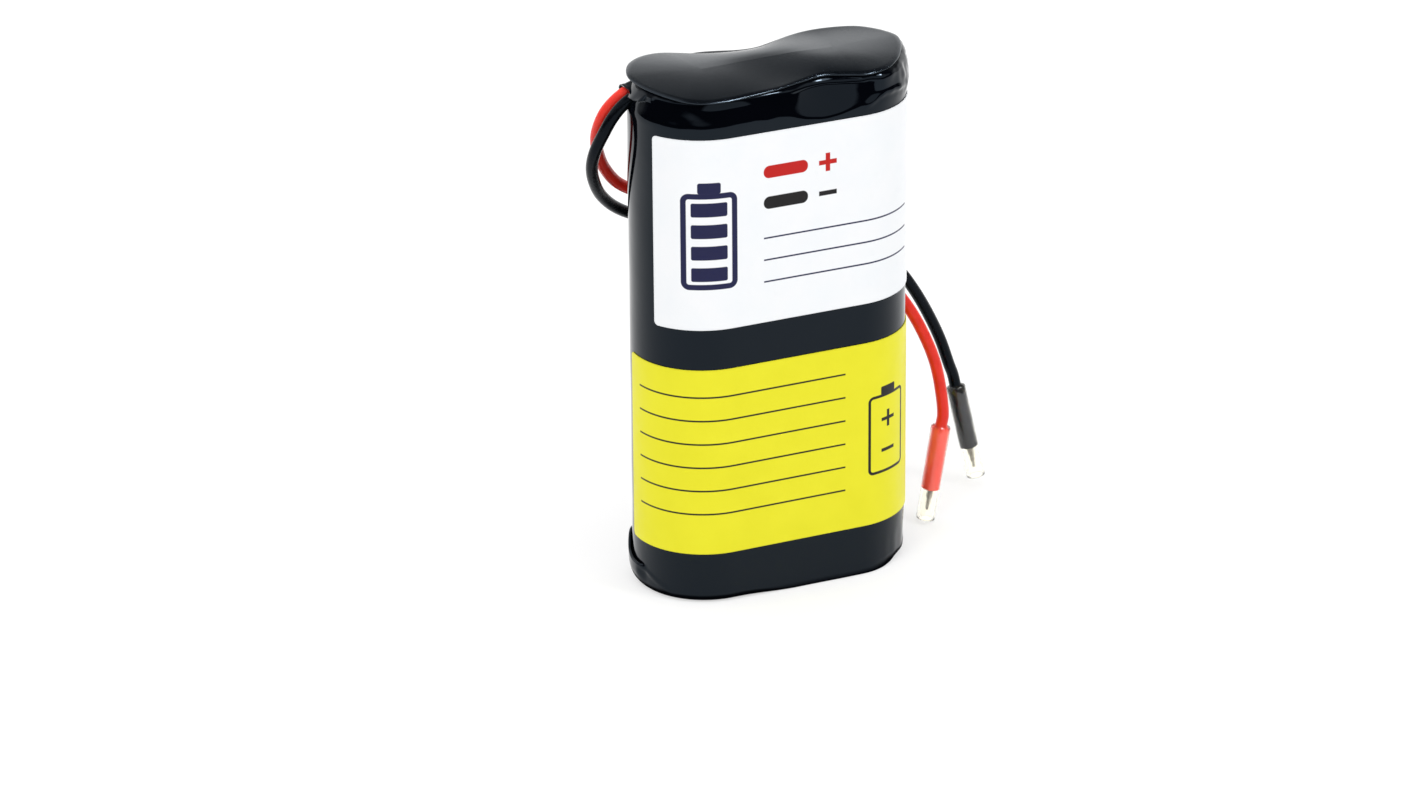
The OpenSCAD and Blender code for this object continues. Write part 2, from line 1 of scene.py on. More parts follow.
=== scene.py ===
"""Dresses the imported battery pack: two upright cells in black shrink film under a cover plate,
with two wrap labels and two flying leads that end in clear sleeves.

The pack stands on z = 0 with its cells side by side along X and its labelled face towards -Y.
Lengths are in metres, and MM turns the millimetres of the part's source into metres.
"""

import logging
import math
from contextlib import contextmanager
from dataclasses import dataclass, field
from enum import Enum
from functools import partial, reduce
from typing import Callable, Iterator, Sequence

import bpy
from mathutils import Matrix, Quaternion, Vector, noise


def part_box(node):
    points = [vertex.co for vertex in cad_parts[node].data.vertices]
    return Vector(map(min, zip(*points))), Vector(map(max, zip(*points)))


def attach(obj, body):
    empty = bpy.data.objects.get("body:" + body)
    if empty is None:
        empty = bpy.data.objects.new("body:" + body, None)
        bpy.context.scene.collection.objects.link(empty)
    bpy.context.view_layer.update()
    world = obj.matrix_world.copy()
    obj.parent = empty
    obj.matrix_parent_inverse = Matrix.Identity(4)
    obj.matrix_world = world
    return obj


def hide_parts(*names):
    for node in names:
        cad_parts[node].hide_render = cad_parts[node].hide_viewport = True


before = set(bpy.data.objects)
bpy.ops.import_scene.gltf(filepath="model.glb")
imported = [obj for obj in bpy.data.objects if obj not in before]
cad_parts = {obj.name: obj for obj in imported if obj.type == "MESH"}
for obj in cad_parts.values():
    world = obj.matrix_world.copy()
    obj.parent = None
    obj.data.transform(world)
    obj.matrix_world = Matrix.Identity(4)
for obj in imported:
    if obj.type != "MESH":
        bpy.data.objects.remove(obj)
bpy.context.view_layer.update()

LOG = logging.getLogger("battery_pack")
MM = 0.001
PHOTO_WIDTH = 1420.0
SENSOR_MM = 36.0
HALF_PITCH = 9.3 * MM
MERGE_GAP = 0.002 * MM
SHORTEST = 1e-6
PARALLEL = 1e-12

Pair = tuple[float, float]
Triple = tuple[float, float, float]
Colour = tuple[float, float, float, float]
Piece = bpy.types.Object
Socket = bpy.types.NodeSocket
Sockets = bpy.types.bpy_prop_collection
Feed = Socket | float | tuple[float, ...]

BLACK: Colour = (0.0, 0.0, 0.0, 1.0)
WHITE: Colour = (1.0, 1.0, 1.0, 1.0)
EVEN: Triple = (1.0, 1.0, 1.0)
ALONG_Y = Vector((0.0, 1.0, 0.0))


class Body(Enum):
    """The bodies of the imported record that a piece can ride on."""

    PACK = "pack"
    RED_TUBE = "red_tube"
    BLACK_TUBE = "black_tube"


class Grow(Enum):
    """The side of a sheet's faces that its wall grows to."""

    INWARDS = -1.0
    OUTWARDS = 1.0


class Stretch(Enum):
    """The stretches of the pack's outline in order, with the sides of the spine that each runs between."""

    BACK_LEFT = (0.0, -1.0)
    LEFT_END = (-1.0, -1.0)
    FRONT = (-1.0, 1.0)
    RIGHT_END = (1.0, 1.0)
    BACK_RIGHT = (1.0, 0.0)


def srgb(red: int, green: int, blue: int) -> Colour:
    """Turns a display colour into a linear one, by the standard display curve.

    Args:
        red: red from 0 to 255.
        green: green from 0 to 255.
        blue: blue from 0 to 255.

    Returns:
        The linear colour with full alpha.
    """
    def linear(value: int) -> float:
        """Undoes the display curve of one channel."""
        part = value / 255.0
        return part / 12.92 if part <= 0.04045 else ((part + 0.055) / 1.055) ** 2.4

    return linear(red), linear(green), linear(blue), 1.0


@dataclass(frozen=True)
class Ramp:
    """A smooth rise from 0 at its start to 1 at its end, whichever of them is lower."""

    start: float
    end: float

    def at(self, place: float) -> float:
        """Reads the rise at a place, from 0 to 1."""
        part = min(1.0, max(0.0, (place - self.start) / (self.end - self.start)))
        return part * part * (3.0 - 2.0 * part)


@dataclass(frozen=True)
class Hump:
    """A smooth hump, 1 at its middle and 0 from half its width away."""

    middle: float
    half: float

    def at(self, place: float) -> float:
        """Reads the hump at a place, from 0 to 1."""
        part = min(1.0, abs(place - self.middle) / self.half)
        return 0.5 + 0.5 * math.cos(math.pi * part)


@dataclass(frozen=True)
class Waves:
    """Soft uneven waves: their height, how many go to a millimetre, and how far they are shifted."""

    tall: float
    per_mm: float
    shift: Triple = (0.0, 0.0, 0.0)

    def at(self, spot: Vector) -> float:
        """Reads the waves at a place in millimetres."""
        return self.tall * noise.noise(spot * self.per_mm + Vector(self.shift))


def curve_between(before: Vector, first: Vector, second: Vector, after: Vector, share: float) -> Vector:
    """Reads a centripetal curve between two knots.

    Args:
        before: the knot before them.
        first: the first knot.
        second: the second knot.
        after: the knot after them.
        share: how far from the first to the second.

    Returns:
        The point.
    """
    times = [0.0]
    for start, end in ((before, first), (first, second), (second, after)):
        times.append(times[-1] + max(math.sqrt((end - start).length), SHORTEST))
    now = times[1] + share * (times[2] - times[1])

    def mix(start: Vector, end: Vector, low: float, high: float) -> Vector:
        """Moves between two points by time."""
        part = (now - low) / (high - low)
        return start * (1.0 - part) + end * part

    one = mix(before, first, times[0], times[1])
    two = mix(first, second, times[1], times[2])
    three = mix(second, after, times[2], times[3])
    early = mix(one, two, times[0], times[2])
    late = mix(two, three, times[1], times[3])
    return mix(early, late, times[1], times[2])


def towards(azimuth: float, elevation: float) -> Vector:
    """Gives the unit vector from the pack towards a place in the room.

    Args:
        azimuth: degrees round from -Y towards +X.
        elevation: degrees up.

    Returns:
        The unit vector.
    """
    turn, rise = math.radians(azimuth), math.radians(elevation)
    return Vector((math.sin(turn) * math.cos(rise), -math.cos(turn) * math.cos(rise), math.sin(rise)))


def link(name: str, data: bpy.types.ID) -> Piece:
    """Makes an object and links it to the scene.

    Args:
        name: the object's name.
        data: its camera, lamp or curve.

    Returns:
        The new object.
    """
    made = bpy.data.objects.new(name, data)
    bpy.context.scene.collection.objects.link(made)
    return made


def aim(thing: Piece, way: Vector, roll: float = 0.0) -> None:
    """Turns a camera or a lamp to look back along a way.

    Args:
        thing: the camera or the lamp.
        way: the unit vector from what it looks at towards it.
        roll: how far it is rolled, in degrees.
    """
    tilt = Quaternion((0.0, 0.0, 1.0), math.radians(roll))
    thing.rotation_mode = "QUATERNION"
    thing.rotation_quaternion = (-way).to_track_quat("-Z", "Y") @ tilt


def pick(*pieces: Piece) -> None:
    """Selects some pieces alone.

    Args:
        *pieces: the pieces, of which the first becomes the active one.
    """
    bpy.ops.object.select_all(action="DESELECT")
    for piece in pieces:
        piece.select_set(True)
    bpy.context.view_layer.objects.active = pieces[0]


@contextmanager
def editing(piece: Piece) -> Iterator[None]:
    """Opens a piece in edit mode with all of it selected, and closes it afterwards.

    Args:
        piece: the mesh object.

    Yields:
        Nothing, while the piece is open.
    """
    pick(piece)
    bpy.ops.object.mode_set(mode="EDIT")
    bpy.ops.mesh.select_all(action="SELECT")
    yield
    bpy.ops.object.mode_set(mode="OBJECT")


def close_up(piece: Piece) -> None:
    """Merges a piece's doubles and turns its faces outwards."""
    with editing(piece):
        bpy.ops.mesh.remove_doubles(threshold=MERGE_GAP)
        bpy.ops.mesh.normals_make_consistent(inside=False)


def ring_mesh(name: str, sides: int, rings: int, place: Callable[[int, float], Vector]) -> Piece:
    """Draws a circle up into a stack of rings and sets every point in its place.

    Args:
        name: the new object's name.
        sides: points round each ring.
        rings: how many rings there are.
        place: gives a point from its ring and its share of the way round.

    Returns:
        The new mesh object, with its doubles merged and its faces outwards.
    """
    bpy.ops.object.select_all(action="DESELECT")
    bpy.ops.mesh.primitive_circle_add(vertices=sides, radius=1.0)
    piece = bpy.context.object
    piece.name = piece.data.name = name
    with editing(piece):
        for _ in range(rings - 1):
            bpy.ops.mesh.extrude_edges_move(TRANSFORM_OT_translate={"value": (0.0, 0.0, 1.0)})
    for vertex in piece.data.vertices:
        turn = math.atan2(vertex.co.y, vertex.co.x) / math.tau
        share = (round(turn * sides) % sides) / sides
        vertex.co = place(round(vertex.co.z), share)
    close_up(piece)
    return piece


def fill_ends(piece: Piece) -> None:
    """Closes the open rims of a piece with faces.

    Args:
        piece: the mesh object.
    """
    with editing(piece):
        bpy.ops.mesh.select_all(action="DESELECT")
        bpy.ops.mesh.select_mode(type="EDGE")
        bpy.ops.mesh.select_non_manifold()
        bpy.ops.mesh.edge_face_add()
    close_up(piece)


def thicken(piece: Piece, wall: float, grow: Grow) -> None:
    """Gives a sheet its wall with an applied Solidify.

    Args:
        piece: the sheet.
        wall: the wall's thickness.
        grow: the side that the wall grows to.
    """
    pick(piece)
    solidify = piece.modifiers.new("wall", "SOLIDIFY")
    solidify.thickness = wall
    solidify.offset = grow.value
    solidify.use_even_offset = False
    bpy.ops.object.modifier_apply(modifier=solidify.name)


def smooth(piece: Piece, degrees: float) -> None:
    """Shades a piece smooth up to an angle between its faces."""
    pick(piece)
    bpy.ops.object.shade_smooth_by_angle(angle=math.radians(degrees))


@dataclass(frozen=True)
class Spread:
    """A range of values and the range that a node maps it to, held at both ends."""

    low: float
    high: float
    to_low: float = 0.0
    to_high: float = 1.0


class Sheet:
    """A node tree that is filled in from left to right."""

    def __init__(self, tree: bpy.types.NodeTree) -> None:
        """Takes the tree to fill in."""
        self.tree = tree

    @classmethod
    def blank(cls, owner: bpy.types.ID) -> "Sheet":
        """Clears the nodes of a material or a world.

        Args:
            owner: the material or the world.

        Returns:
            The sheet of its empty tree.
        """
        owner.use_nodes = True
        owner.node_tree.nodes.clear()
        return cls(owner.node_tree)

    def add(
        self, kind: str, inputs: dict[str | int, Feed] | None = None, **settings: object
    ) -> bpy.types.Node:
        """Adds a node.

        Args:
            kind: the node's type.
            inputs: values or sockets for its inputs, by name or number.
            **settings: values of its properties.

        Returns:
            The new node.
        """
        node = self.tree.nodes.new(kind)
        for key, value in settings.items():
            setattr(node, key, value)
        for key, value in (inputs or {}).items():
            if isinstance(value, Socket):
                self.tree.links.new(value, node.inputs[key])
            else:
                node.inputs[key].default_value = value
        return node

    def math(self, operation: str, *values: Feed, clamp: bool = False) -> Socket:
        """Adds a Math node and returns its result."""
        node = self.add("ShaderNodeMath", dict(enumerate(values)), operation=operation, use_clamp=clamp)
        return node.outputs[0]

    def product(self, *values: Feed) -> Socket:
        """Multiplies values and returns the result."""
        return reduce(partial(self.math, "MULTIPLY"), values)

    def total(self, *values: Feed) -> Socket:
        """Adds up values and returns the result."""
        return reduce(partial(self.math, "ADD"), values)

    def vector(self, operation: str, *values: Feed) -> Socket:
        """Adds a Vector Math node and returns its result."""
        node = self.add("ShaderNodeVectorMath", dict(enumerate(values)), operation=operation)
        return node.outputs["Value" if operation in ("LENGTH", "DOT_PRODUCT") else "Vector"]

    def axes(self, place: Feed) -> Sockets:
        """Splits a vector and returns its X, Y and Z."""
        return self.add("ShaderNodeSeparateXYZ", {0: place}).outputs

    def flat(self, across: Feed, up: Feed) -> Socket:
        """Joins an X and a Y to a flat vector and returns it."""
        return self.add("ShaderNodeCombineXYZ", {"X": across, "Y": up}).outputs[0]

    def blend(self, share: Feed, first: Feed, second: Feed) -> Socket:
        """Mixes two colours by share and returns the result."""
        return self.add("ShaderNodeMix", {0: share, 6: first, 7: second}, data_type="RGBA").outputs[2]

    def spread(self, value: Feed, span: Spread) -> Socket:
        """Maps a value from one range to another.

        Args:
            value: the value.
            span: the two ranges.

        Returns:
            The mapped value.
        """
        ends = {"From Min": span.low, "From Max": span.high, "To Min": span.to_low, "To Max": span.to_high}
        return self.add("ShaderNodeMapRange", {"Value": value, **ends}, clamp=True).outputs[0]

    def place(self, kind: str = "Object") -> Socket:
        """Gives the place on the surface, by object or another kind of coordinates."""
        return self.add("ShaderNodeTexCoord").outputs[kind]

    def grain(self, place: Feed, stretch: Triple, size: float) -> Sockets:
        """Places the grain group.

        Args:
            place: the place on the surface.
            stretch: how often the grain repeats along each axis, compared with the others.
            size: the size of the broad tone.

        Returns:
            Its Tone and Fine.
        """
        inputs = {"Position": place, "Stretch": stretch, "Scale": 1.0 / size}
        return self.add("ShaderNodeGroup", inputs, node_tree=grain_group()).outputs


VECTOR = "NodeSocketVector"
NUMBER = "NodeSocketFloat"
GRAIN_FINER = 5.5
GRAIN_CONTRAST = Spread(0.3, 0.7)
TONE_DETAIL = 3.0
FINE_DETAIL = 2.0


def new_group(name: str, inputs: dict[str, str], outputs: dict[str, str]) -> tuple[Sheet, Sockets, Sockets]:
    """Starts a shader node group.

    Args:
        name: the group's name.
        inputs: socket types of its inputs, by name.
        outputs: socket types of its outputs, by name.

    Returns:
        The group's sheet, what it is given, and the sockets for what it puts out.
    """
    tree = bpy.data.node_groups.new(name, "ShaderNodeTree")
    for way, sockets in (("INPUT", inputs), ("OUTPUT", outputs)):
        for label, kind in sockets.items():
            tree.interface.new_socket(name=label, in_out=way, socket_type=kind)
    sheet = Sheet(tree)
    return sheet, sheet.add("NodeGroupInput").outputs, sheet.add("NodeGroupOutput").inputs


def grain_group() -> bpy.types.NodeTree:
    """Builds, once, the group that gives broad tone and fine grain over a surface.

    Returns:
        The node group.
    """
    name = "surface_grain"
    if name in bpy.data.node_groups:
        return bpy.data.node_groups[name]
    sheet, given, result = new_group(
        name, {"Position": VECTOR, "Stretch": VECTOR, "Scale": NUMBER}, {"Tone": NUMBER, "Fine": NUMBER})
    place = sheet.vector("MULTIPLY", given["Position"], given["Stretch"])
    finer = sheet.product(given["Scale"], GRAIN_FINER)
    for output, scale, detail in (("Tone", given["Scale"], TONE_DETAIL), ("Fine", finer, FINE_DETAIL)):
        cloud = sheet.add("ShaderNodeTexNoise", {"Vector": place, "Scale": scale, "Detail": detail})
        sheet.tree.links.new(sheet.spread(cloud.outputs["Fac"], GRAIN_CONTRAST), result[output])
    return sheet.tree


def box_group() -> bpy.types.NodeTree:
    """Builds, once, the group that masks a round-cornered box, filled or as a line.

    Returns:
        The node group.
    """
    name = "printed_box"
    if name in bpy.data.node_groups:
        return bpy.data.node_groups[name]
    places = dict.fromkeys(("Place", "Centre", "Half"), VECTOR)
    widths = dict.fromkeys(("Corner", "Line", "Blur"), NUMBER)
    sheet, given, result = new_group(name, places | widths, {"Mask": NUMBER})
    off = sheet.vector("SUBTRACT", given["Place"], given["Centre"])
    beyond = sheet.vector("SUBTRACT", sheet.vector("ABSOLUTE", off), given["Half"])
    beyond = sheet.vector("ADD", beyond, sheet.flat(given["Corner"], given["Corner"]))
    outside = sheet.vector("LENGTH", sheet.vector("MAXIMUM", beyond, (0.0, 0.0, 0.0)))
    axes = sheet.axes(beyond)
    inside = sheet.math("MINIMUM", sheet.math("MAXIMUM", axes["X"], axes["Y"]), 0.0)
    edge = sheet.math("SUBTRACT", sheet.total(outside, inside), given["Corner"])
    inner = sheet.product(sheet.total(edge, given["Line"]), -1.0)
    gap = sheet.math("DIVIDE", sheet.math("MAXIMUM", edge, inner), given["Blur"])
    sheet.tree.links.new(sheet.math("SUBTRACT", 0.5, gap, clamp=True), result["Mask"])
    return sheet.tree


DRESSED = "dressed"
CAD_MARK = "_cad"
SMOOTHEST = 0.02


@dataclass(frozen=True)
class Finish:
    """A surface finish: two near colours, a gloss that varies a little, and a grain.

    Its slot is the record's material slot. Grain is the size of the broad tone.
    """

    slot: str
    colour: Colour
    shade: Colour
    roughness: float
    rough_spread: float = 0.06
    metallic: float = 0.0
    specular: float = 0.5
    sheen: Colour = WHITE
    grain: float = 3.0 * MM
    stretch: Triple = EVEN
    relief: float = 0.02 * MM
    transmission: float = 0.0
    ior: float = 1.5

    def material(self) -> bpy.types.Material:
        """Builds the material, once.

        Returns:
            The material, which has its slot's name.
        """
        old = bpy.data.materials.get(self.slot)
        if old and old.get(DRESSED):
            return old
        if old:
            old.name = self.slot + CAD_MARK
        made = bpy.data.materials.new(self.slot)
        made[DRESSED] = True
        sheet = Sheet.blank(made)
        place = sheet.place()
        grain = sheet.grain(place, self.stretch, self.grain)
        low = max(SMOOTHEST, self.roughness - self.rough_spread)
        gloss = Spread(0.0, 1.0, low, self.roughness + self.rough_spread)
        bump = sheet.add("ShaderNodeBump", {
            "Strength": 1.0, "Distance": self.relief, "Height": self.height(sheet, grain)})
        shader = sheet.add("ShaderNodeBsdfPrincipled", {
            "Base Color": self.tint(sheet, place, grain),
            "Roughness": sheet.spread(grain["Fine"], gloss),
            "Metallic": self.metallic,
            "Specular IOR Level": self.specular,
            "Specular Tint": self.sheen,
            "IOR": self.ior,
            "Transmission Weight": self.transmission,
            "Normal": bump.outputs[0]})
        sheet.add("ShaderNodeOutputMaterial", {"Surface": shader.outputs[0]})
        return made

    def tint(self, sheet: Sheet, place: Socket, grain: Sockets) -> Socket:
        """Gives the base colour, which drifts between the two colours."""
        return sheet.blend(grain["Tone"], self.colour, self.shade)

    def height(self, sheet: Sheet, grain: Sockets) -> Socket:
        """Gives the height of the grain."""
        return grain["Fine"]


@dataclass(frozen=True)
class FilmFinish(Finish):
    """Glossy shrink film, with the slow waves that shrinking leaves in it."""

    fine: float = 0.12

    def height(self, sheet: Sheet, grain: Sockets) -> Socket:
        """Gives slow waves with a little fine grain on them."""
        return sheet.total(grain["Tone"], sheet.product(grain["Fine"], self.fine))


@dataclass(frozen=True)
class Ink:
    """One printed box on a label: its middle, half size and corner in millimetres, and its colour.

    A line of 0 fills the box, and any other width only draws round it.
    """

    middle: Pair
    half: Pair
    colour: Colour
    corner: float = 0.0
    line: float = 0.0
    blur: float = 0.07
    filled_line: float = 100.0

    def mask(self, sheet: Sheet, flat: Socket) -> Socket:
        """Places the printed box group.

        Args:
            sheet: the material's sheet.
            flat: the place on the flat label, in millimetres.

        Returns:
            The mask of the printed box.
        """
        inputs = {
            "Place": flat, "Centre": (*self.middle, 0.0), "Half": (*self.half, 0.0), "Corner": self.corner,
            "Line": self.line or self.filled_line, "Blur": self.blur}
        return sheet.add("ShaderNodeGroup", inputs, node_tree=box_group()).outputs["Mask"]


@dataclass(frozen=True)
class LabelFinish(Finish):
    """Coated label paper with plain printed marks, laid out in millimetres on the label's own UV map."""

    length: float = 50.0
    tall: float = 26.0
    inks: tuple[Ink, ...] = ()
    edge_corner: float = 0.6
    edge_line: float = 0.12
    edge_blur: float = 0.25
    edge_dark: float = 0.8
    edge_share: float = 0.5

    def tint(self, sheet: Sheet, place: Socket, grain: Sockets) -> Socket:
        """Gives the paper's colour, darker at its cut edge, with the inks over it.

        Args:
            sheet: the material's sheet.
            place: the place on the surface.
            grain: the tone and the fine grain there.

        Returns:
            The base colour.
        """
        flat = sheet.vector("MULTIPLY", sheet.place("UV"), (self.length, self.tall, 0.0))
        edge = self.cut_edge()
        worn = sheet.product(edge.mask(sheet, flat), self.edge_share)
        body = sheet.blend(worn, super().tint(sheet, place, grain), edge.colour)
        for ink in self.inks:
            body = sheet.blend(ink.mask(sheet, flat), body, ink.colour)
        return body

    def cut_edge(self) -> Ink:
        """Gives the darker line along the label's cut edge.

        Returns:
            The line, as an ink.
        """
        middle = (self.length / 2.0, self.tall / 2.0)
        dark = (*(self.edge_dark * value for value in self.shade[:3]), 1.0)
        return Ink(middle, middle, dark, self.edge_corner, self.edge_line, self.edge_blur)


@dataclass(frozen=True)
class WoundFinish(Finish):
    """Electrode foil wound in many turns, seen as fine rings round each cell's axis."""

    layer: float = 0.3 * MM
    contrast: Spread = Spread(-0.6, 0.6)

    def tint(self, sheet: Sheet, place: Socket, grain: Sockets) -> Socket:
        """Gives rings of foil and separator by the distance from the nearer axis.

        Args:
            sheet: the material's sheet.
            place: the place on the surface.
            grain: the tone and the fine grain there; not used.

        Returns:
            The base colour.
        """
        axes = sheet.axes(place)
        side = sheet.math("SUBTRACT", sheet.math("ABSOLUTE", axes["X"]), HALF_PITCH)
        turns = sheet.math("DIVIDE", sheet.vector("LENGTH", sheet.flat(side, axes["Y"])), self.layer)
        ring = sheet.spread(sheet.math("SINE", sheet.product(turns, math.tau)), self.contrast)
        return sheet.blend(ring, self.colour, self.shade)


@dataclass(frozen=True)
class WireFinish(Finish):
    """Wire insulation, which looks paler and streaked inside its clear sleeve, below a height. On the red
    lead the paler sleeved colour is a painted haze of the sleeve, and on both leads the lighter streaked
    marks are painted highlights of the sleeve.
    """

    sleeved: Colour = WHITE
    highlight_streak: Colour = WHITE
    highlight_streak_size: float = 0.7 * MM
    highlight_streak_stretch: Triple = (1.0, 1.0, 0.08)
    sleeved_z: float = 13.6 * MM
    fade: float = 0.4 * MM

    def tint(self, sheet: Sheet, place: Socket, grain: Sockets) -> Socket:
        """Blends the plain insulation into its sleeved look, with its painted highlights.

        Args:
            sheet: the material's sheet.
            place: the place on the surface.
            grain: the tone and the fine grain there.

        Returns:
            The base colour.
        """
        # Lighter streaked marks along the wire: painted highlights of the clear sleeve.
        highlight_streaks = sheet.grain(place, self.highlight_streak_stretch, self.highlight_streak_size)
        inside = sheet.blend(highlight_streaks["Tone"], self.sleeved, self.highlight_streak)
        below = Spread(self.sleeved_z - self.fade, self.sleeved_z, 1.0, 0.0)
        share = sheet.spread(sheet.axes(place)["Z"], below)
        return sheet.blend(share, super().tint(sheet, place, grain), inside)


@dataclass(frozen=True)
class BoardFinish(Finish):
    """Solder-masked laminate with paler tracks under the mask, sized by the space from track to track."""

    track: float = 1.1 * MM
    track_wide: float = 0.14
    track_long: float = 3.4
    stagger: float = 0.37

    def tint(self, sheet: Sheet, place: Socket, grain: Sockets) -> Socket:
        """Gives the mask's colour with paler tracks that run along the board.

        Args:
            sheet: the material's sheet.
            place: the place on the surface.
            grain: the tone and the fine grain there.

        Returns:
            The base colour.
        """
        tracks = sheet.add("ShaderNodeTexBrick", {
            "Vector": place, "Color1": BLACK, "Color2": BLACK, "Mortar": WHITE, "Scale": 1.0,
            "Mortar Size": self.track_wide * self.track, "Brick Width": self.track_long * self.track,
            "Row Height": self.track}, offset=self.stagger)
        return sheet.blend(tracks.outputs["Color"], super().tint(sheet, place, grain), self.shade)


NAVY = srgb(26, 28, 66)
INK_BLACK = srgb(20, 18, 20)
INK_RED = srgb(190, 32, 28)

WHITE_INKS: tuple[Ink, ...] = (
    Ink((7.6, 12.2), (3.7, 6.6), NAVY, 1.1, 0.75),
    Ink((7.6, 19.5), (1.5, 0.75), NAVY, 0.3),
    *(Ink((7.6, 7.7 + 2.95 * row), (2.35, 0.95), NAVY, 0.25) for row in range(4)),
    Ink((18.1, 20.6), (3.1, 0.85), INK_RED, 0.8),
    Ink((24.0, 20.6), (1.25, 0.32), INK_RED),
    Ink((24.0, 20.6), (0.32, 1.25), INK_RED),
    Ink((18.1, 16.4), (3.1, 0.85), INK_BLACK, 0.8),
    Ink((24.0, 16.4), (1.25, 0.32), INK_BLACK),
    *(Ink((26.2, 11.6 - 3.0 * row), (11.2, 0.11), NAVY) for row in range(3)),
)
YELLOW_INKS: tuple[Ink, ...] = (
    *(Ink((17.2, 22.2 - 3.3 * row), (14.8, 0.12), INK_BLACK) for row in range(6)),
    Ink((38.6, 12.6), (3.3, 5.6), INK_BLACK, 0.8, 0.4),
    Ink((38.6, 18.7), (1.3, 0.6), INK_BLACK, 0.2),
    Ink((38.6, 14.6), (1.2, 0.24), INK_BLACK),
    Ink((38.6, 14.6), (0.24, 1.2), INK_BLACK),
    Ink((38.6, 10.2), (1.2, 0.24), INK_BLACK),
)

# COOL_SHEEN tints reflections blue, a painted cool cast of the room's light on the film, the plate and the
# black insulation.
COOL_SHEEN: Colour = (0.62, 0.8, 1.0, 1.0)
FILM = FilmFinish(
    "black_film", srgb(2, 3, 6), srgb(3, 4, 8), 0.05, 0.02, specular=0.21, sheen=COOL_SHEEN,
    grain=7.0 * MM, relief=0.02 * MM)
PLATE = Finish(
    "cover_board", srgb(8, 11, 15), srgb(11, 14, 18), 0.22, 0.02, sheen=COOL_SHEEN,
    grain=2.5 * MM, relief=0.0012 * MM)
WHITE_PAPER = LabelFinish(
    "white_label", srgb(247, 248, 250), srgb(243, 246, 249), 0.4, specular=0.2,
    grain=5.0 * MM, relief=0.006 * MM, length=50.0, inks=WHITE_INKS)
YELLOW_PAPER = LabelFinish(
    "yellow_label", srgb(237, 231, 46), srgb(233, 227, 42), 0.4, specular=0.2,
    grain=5.0 * MM, relief=0.006 * MM, length=55.0, inks=YELLOW_INKS)
# Sleeved colours: a painted haze of the sleeve on the red lead, and lighter streaked painted highlights of
# the sleeve on both.
RED_WIRE = WireFinish(
    "red_insulation", srgb(232, 50, 34), srgb(220, 40, 28), 0.34, specular=0.3,
    grain=1.6 * MM, relief=0.01 * MM, sleeved=srgb(248, 64, 44), highlight_streak=srgb(252, 92, 74))
BLACK_WIRE = WireFinish(
    "black_insulation", srgb(4, 5, 8), srgb(8, 9, 12), 0.2, specular=0.1, sheen=COOL_SHEEN,
    grain=1.6 * MM, relief=0.01 * MM, sleeved=srgb(2, 3, 6), highlight_streak=srgb(32, 34, 40))
TINNED = Finish(
    "tinned_copper", srgb(176, 174, 170), srgb(128, 122, 114), 0.3, metallic=0.5, grain=0.5 * MM)
CLEAR = Finish(
    "clear_tube", srgb(255, 254, 247), srgb(255, 252, 240), 0.08, 0.05, grain=0.5 * MM,
    stretch=(1.0, 1.0, 0.06), relief=0.01 * MM, transmission=0.982, ior=1.5)
DRAWN_UP: Triple = (1.0, 1.0, 0.1)
ROLLED_UP: Triple = (1.0, 1.0, 0.08)
ROLLED_ALONG: Triple = (0.15, 1.0, 1.0)
PRESSED: Triple = (1.0, 3.0, 1.0)
INNER_FINISHES: tuple[Finish, ...] = (
    Finish("can_steel", srgb(196, 196, 192), srgb(172, 172, 170), 0.32, metallic=1.0, stretch=DRAWN_UP),
    WoundFinish("electrode", srgb(40, 38, 37), srgb(150, 92, 58), 0.5),
    Finish("disc_plastic", srgb(228, 226, 218), srgb(212, 210, 200), 0.5),
    Finish("tab_aluminium", srgb(214, 216, 218), srgb(196, 198, 200), 0.36, metallic=1.0, stretch=ROLLED_UP),
    Finish("green_paper", srgb(92, 140, 104), srgb(78, 122, 90), 0.85, grain=0.6 * MM, relief=0.03 * MM),
    Finish("jacket_film", srgb(54, 116, 168), srgb(46, 104, 154), 0.25, grain=6.0 * MM),
    Finish("glue", srgb(238, 230, 206), srgb(224, 212, 182), 0.4, grain=2.0 * MM, relief=0.05 * MM),
    Finish("nickel", srgb(206, 202, 192), srgb(184, 180, 170), 0.3, metallic=1.0, stretch=ROLLED_ALONG),
    BoardFinish("board_laminate", srgb(22, 92, 58), srgb(36, 116, 74), 0.35),
    Finish("pad_gold", srgb(226, 186, 104), srgb(206, 162, 84), 0.28, metallic=1.0, grain=0.8 * MM),
    Finish("chip_black", srgb(32, 32, 34), srgb(44, 44, 46), 0.55, grain=0.25 * MM),
    Finish("capacitor_tan", srgb(178, 138, 96), srgb(160, 120, 82), 0.5, grain=0.4 * MM),
    Finish("solder", srgb(204, 206, 208), srgb(168, 170, 174), 0.24, metallic=1.0, grain=0.7 * MM),
    Finish("frame_plastic", srgb(232, 232, 228), srgb(218, 218, 212), 0.45, grain=1.5 * MM),
    Finish("black_fibre", srgb(24, 24, 25), srgb(38, 37, 36), 0.8, grain=0.8 * MM, stretch=PRESSED),
)


def settle(piece: Piece, finish: Finish, body: Body, *nodes: str) -> Piece:
    """Dresses a finished piece and ties it to its body, slot and CAD nodes.

    Args:
        piece: the piece.
        finish: the finish that it wears.
        body: the body that it rides on.
        *nodes: the CAD nodes that it stands for.

    Returns:
        The same piece.
    """
    piece.data.materials.clear()
    piece.data.materials.append(finish.material())
    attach(piece, body.value)
    if nodes:
        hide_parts(*nodes)
    LOG.info("%s rides on %s and stands for %s", piece.name, body.value, ", ".join(nodes) or "itself")
    return piece


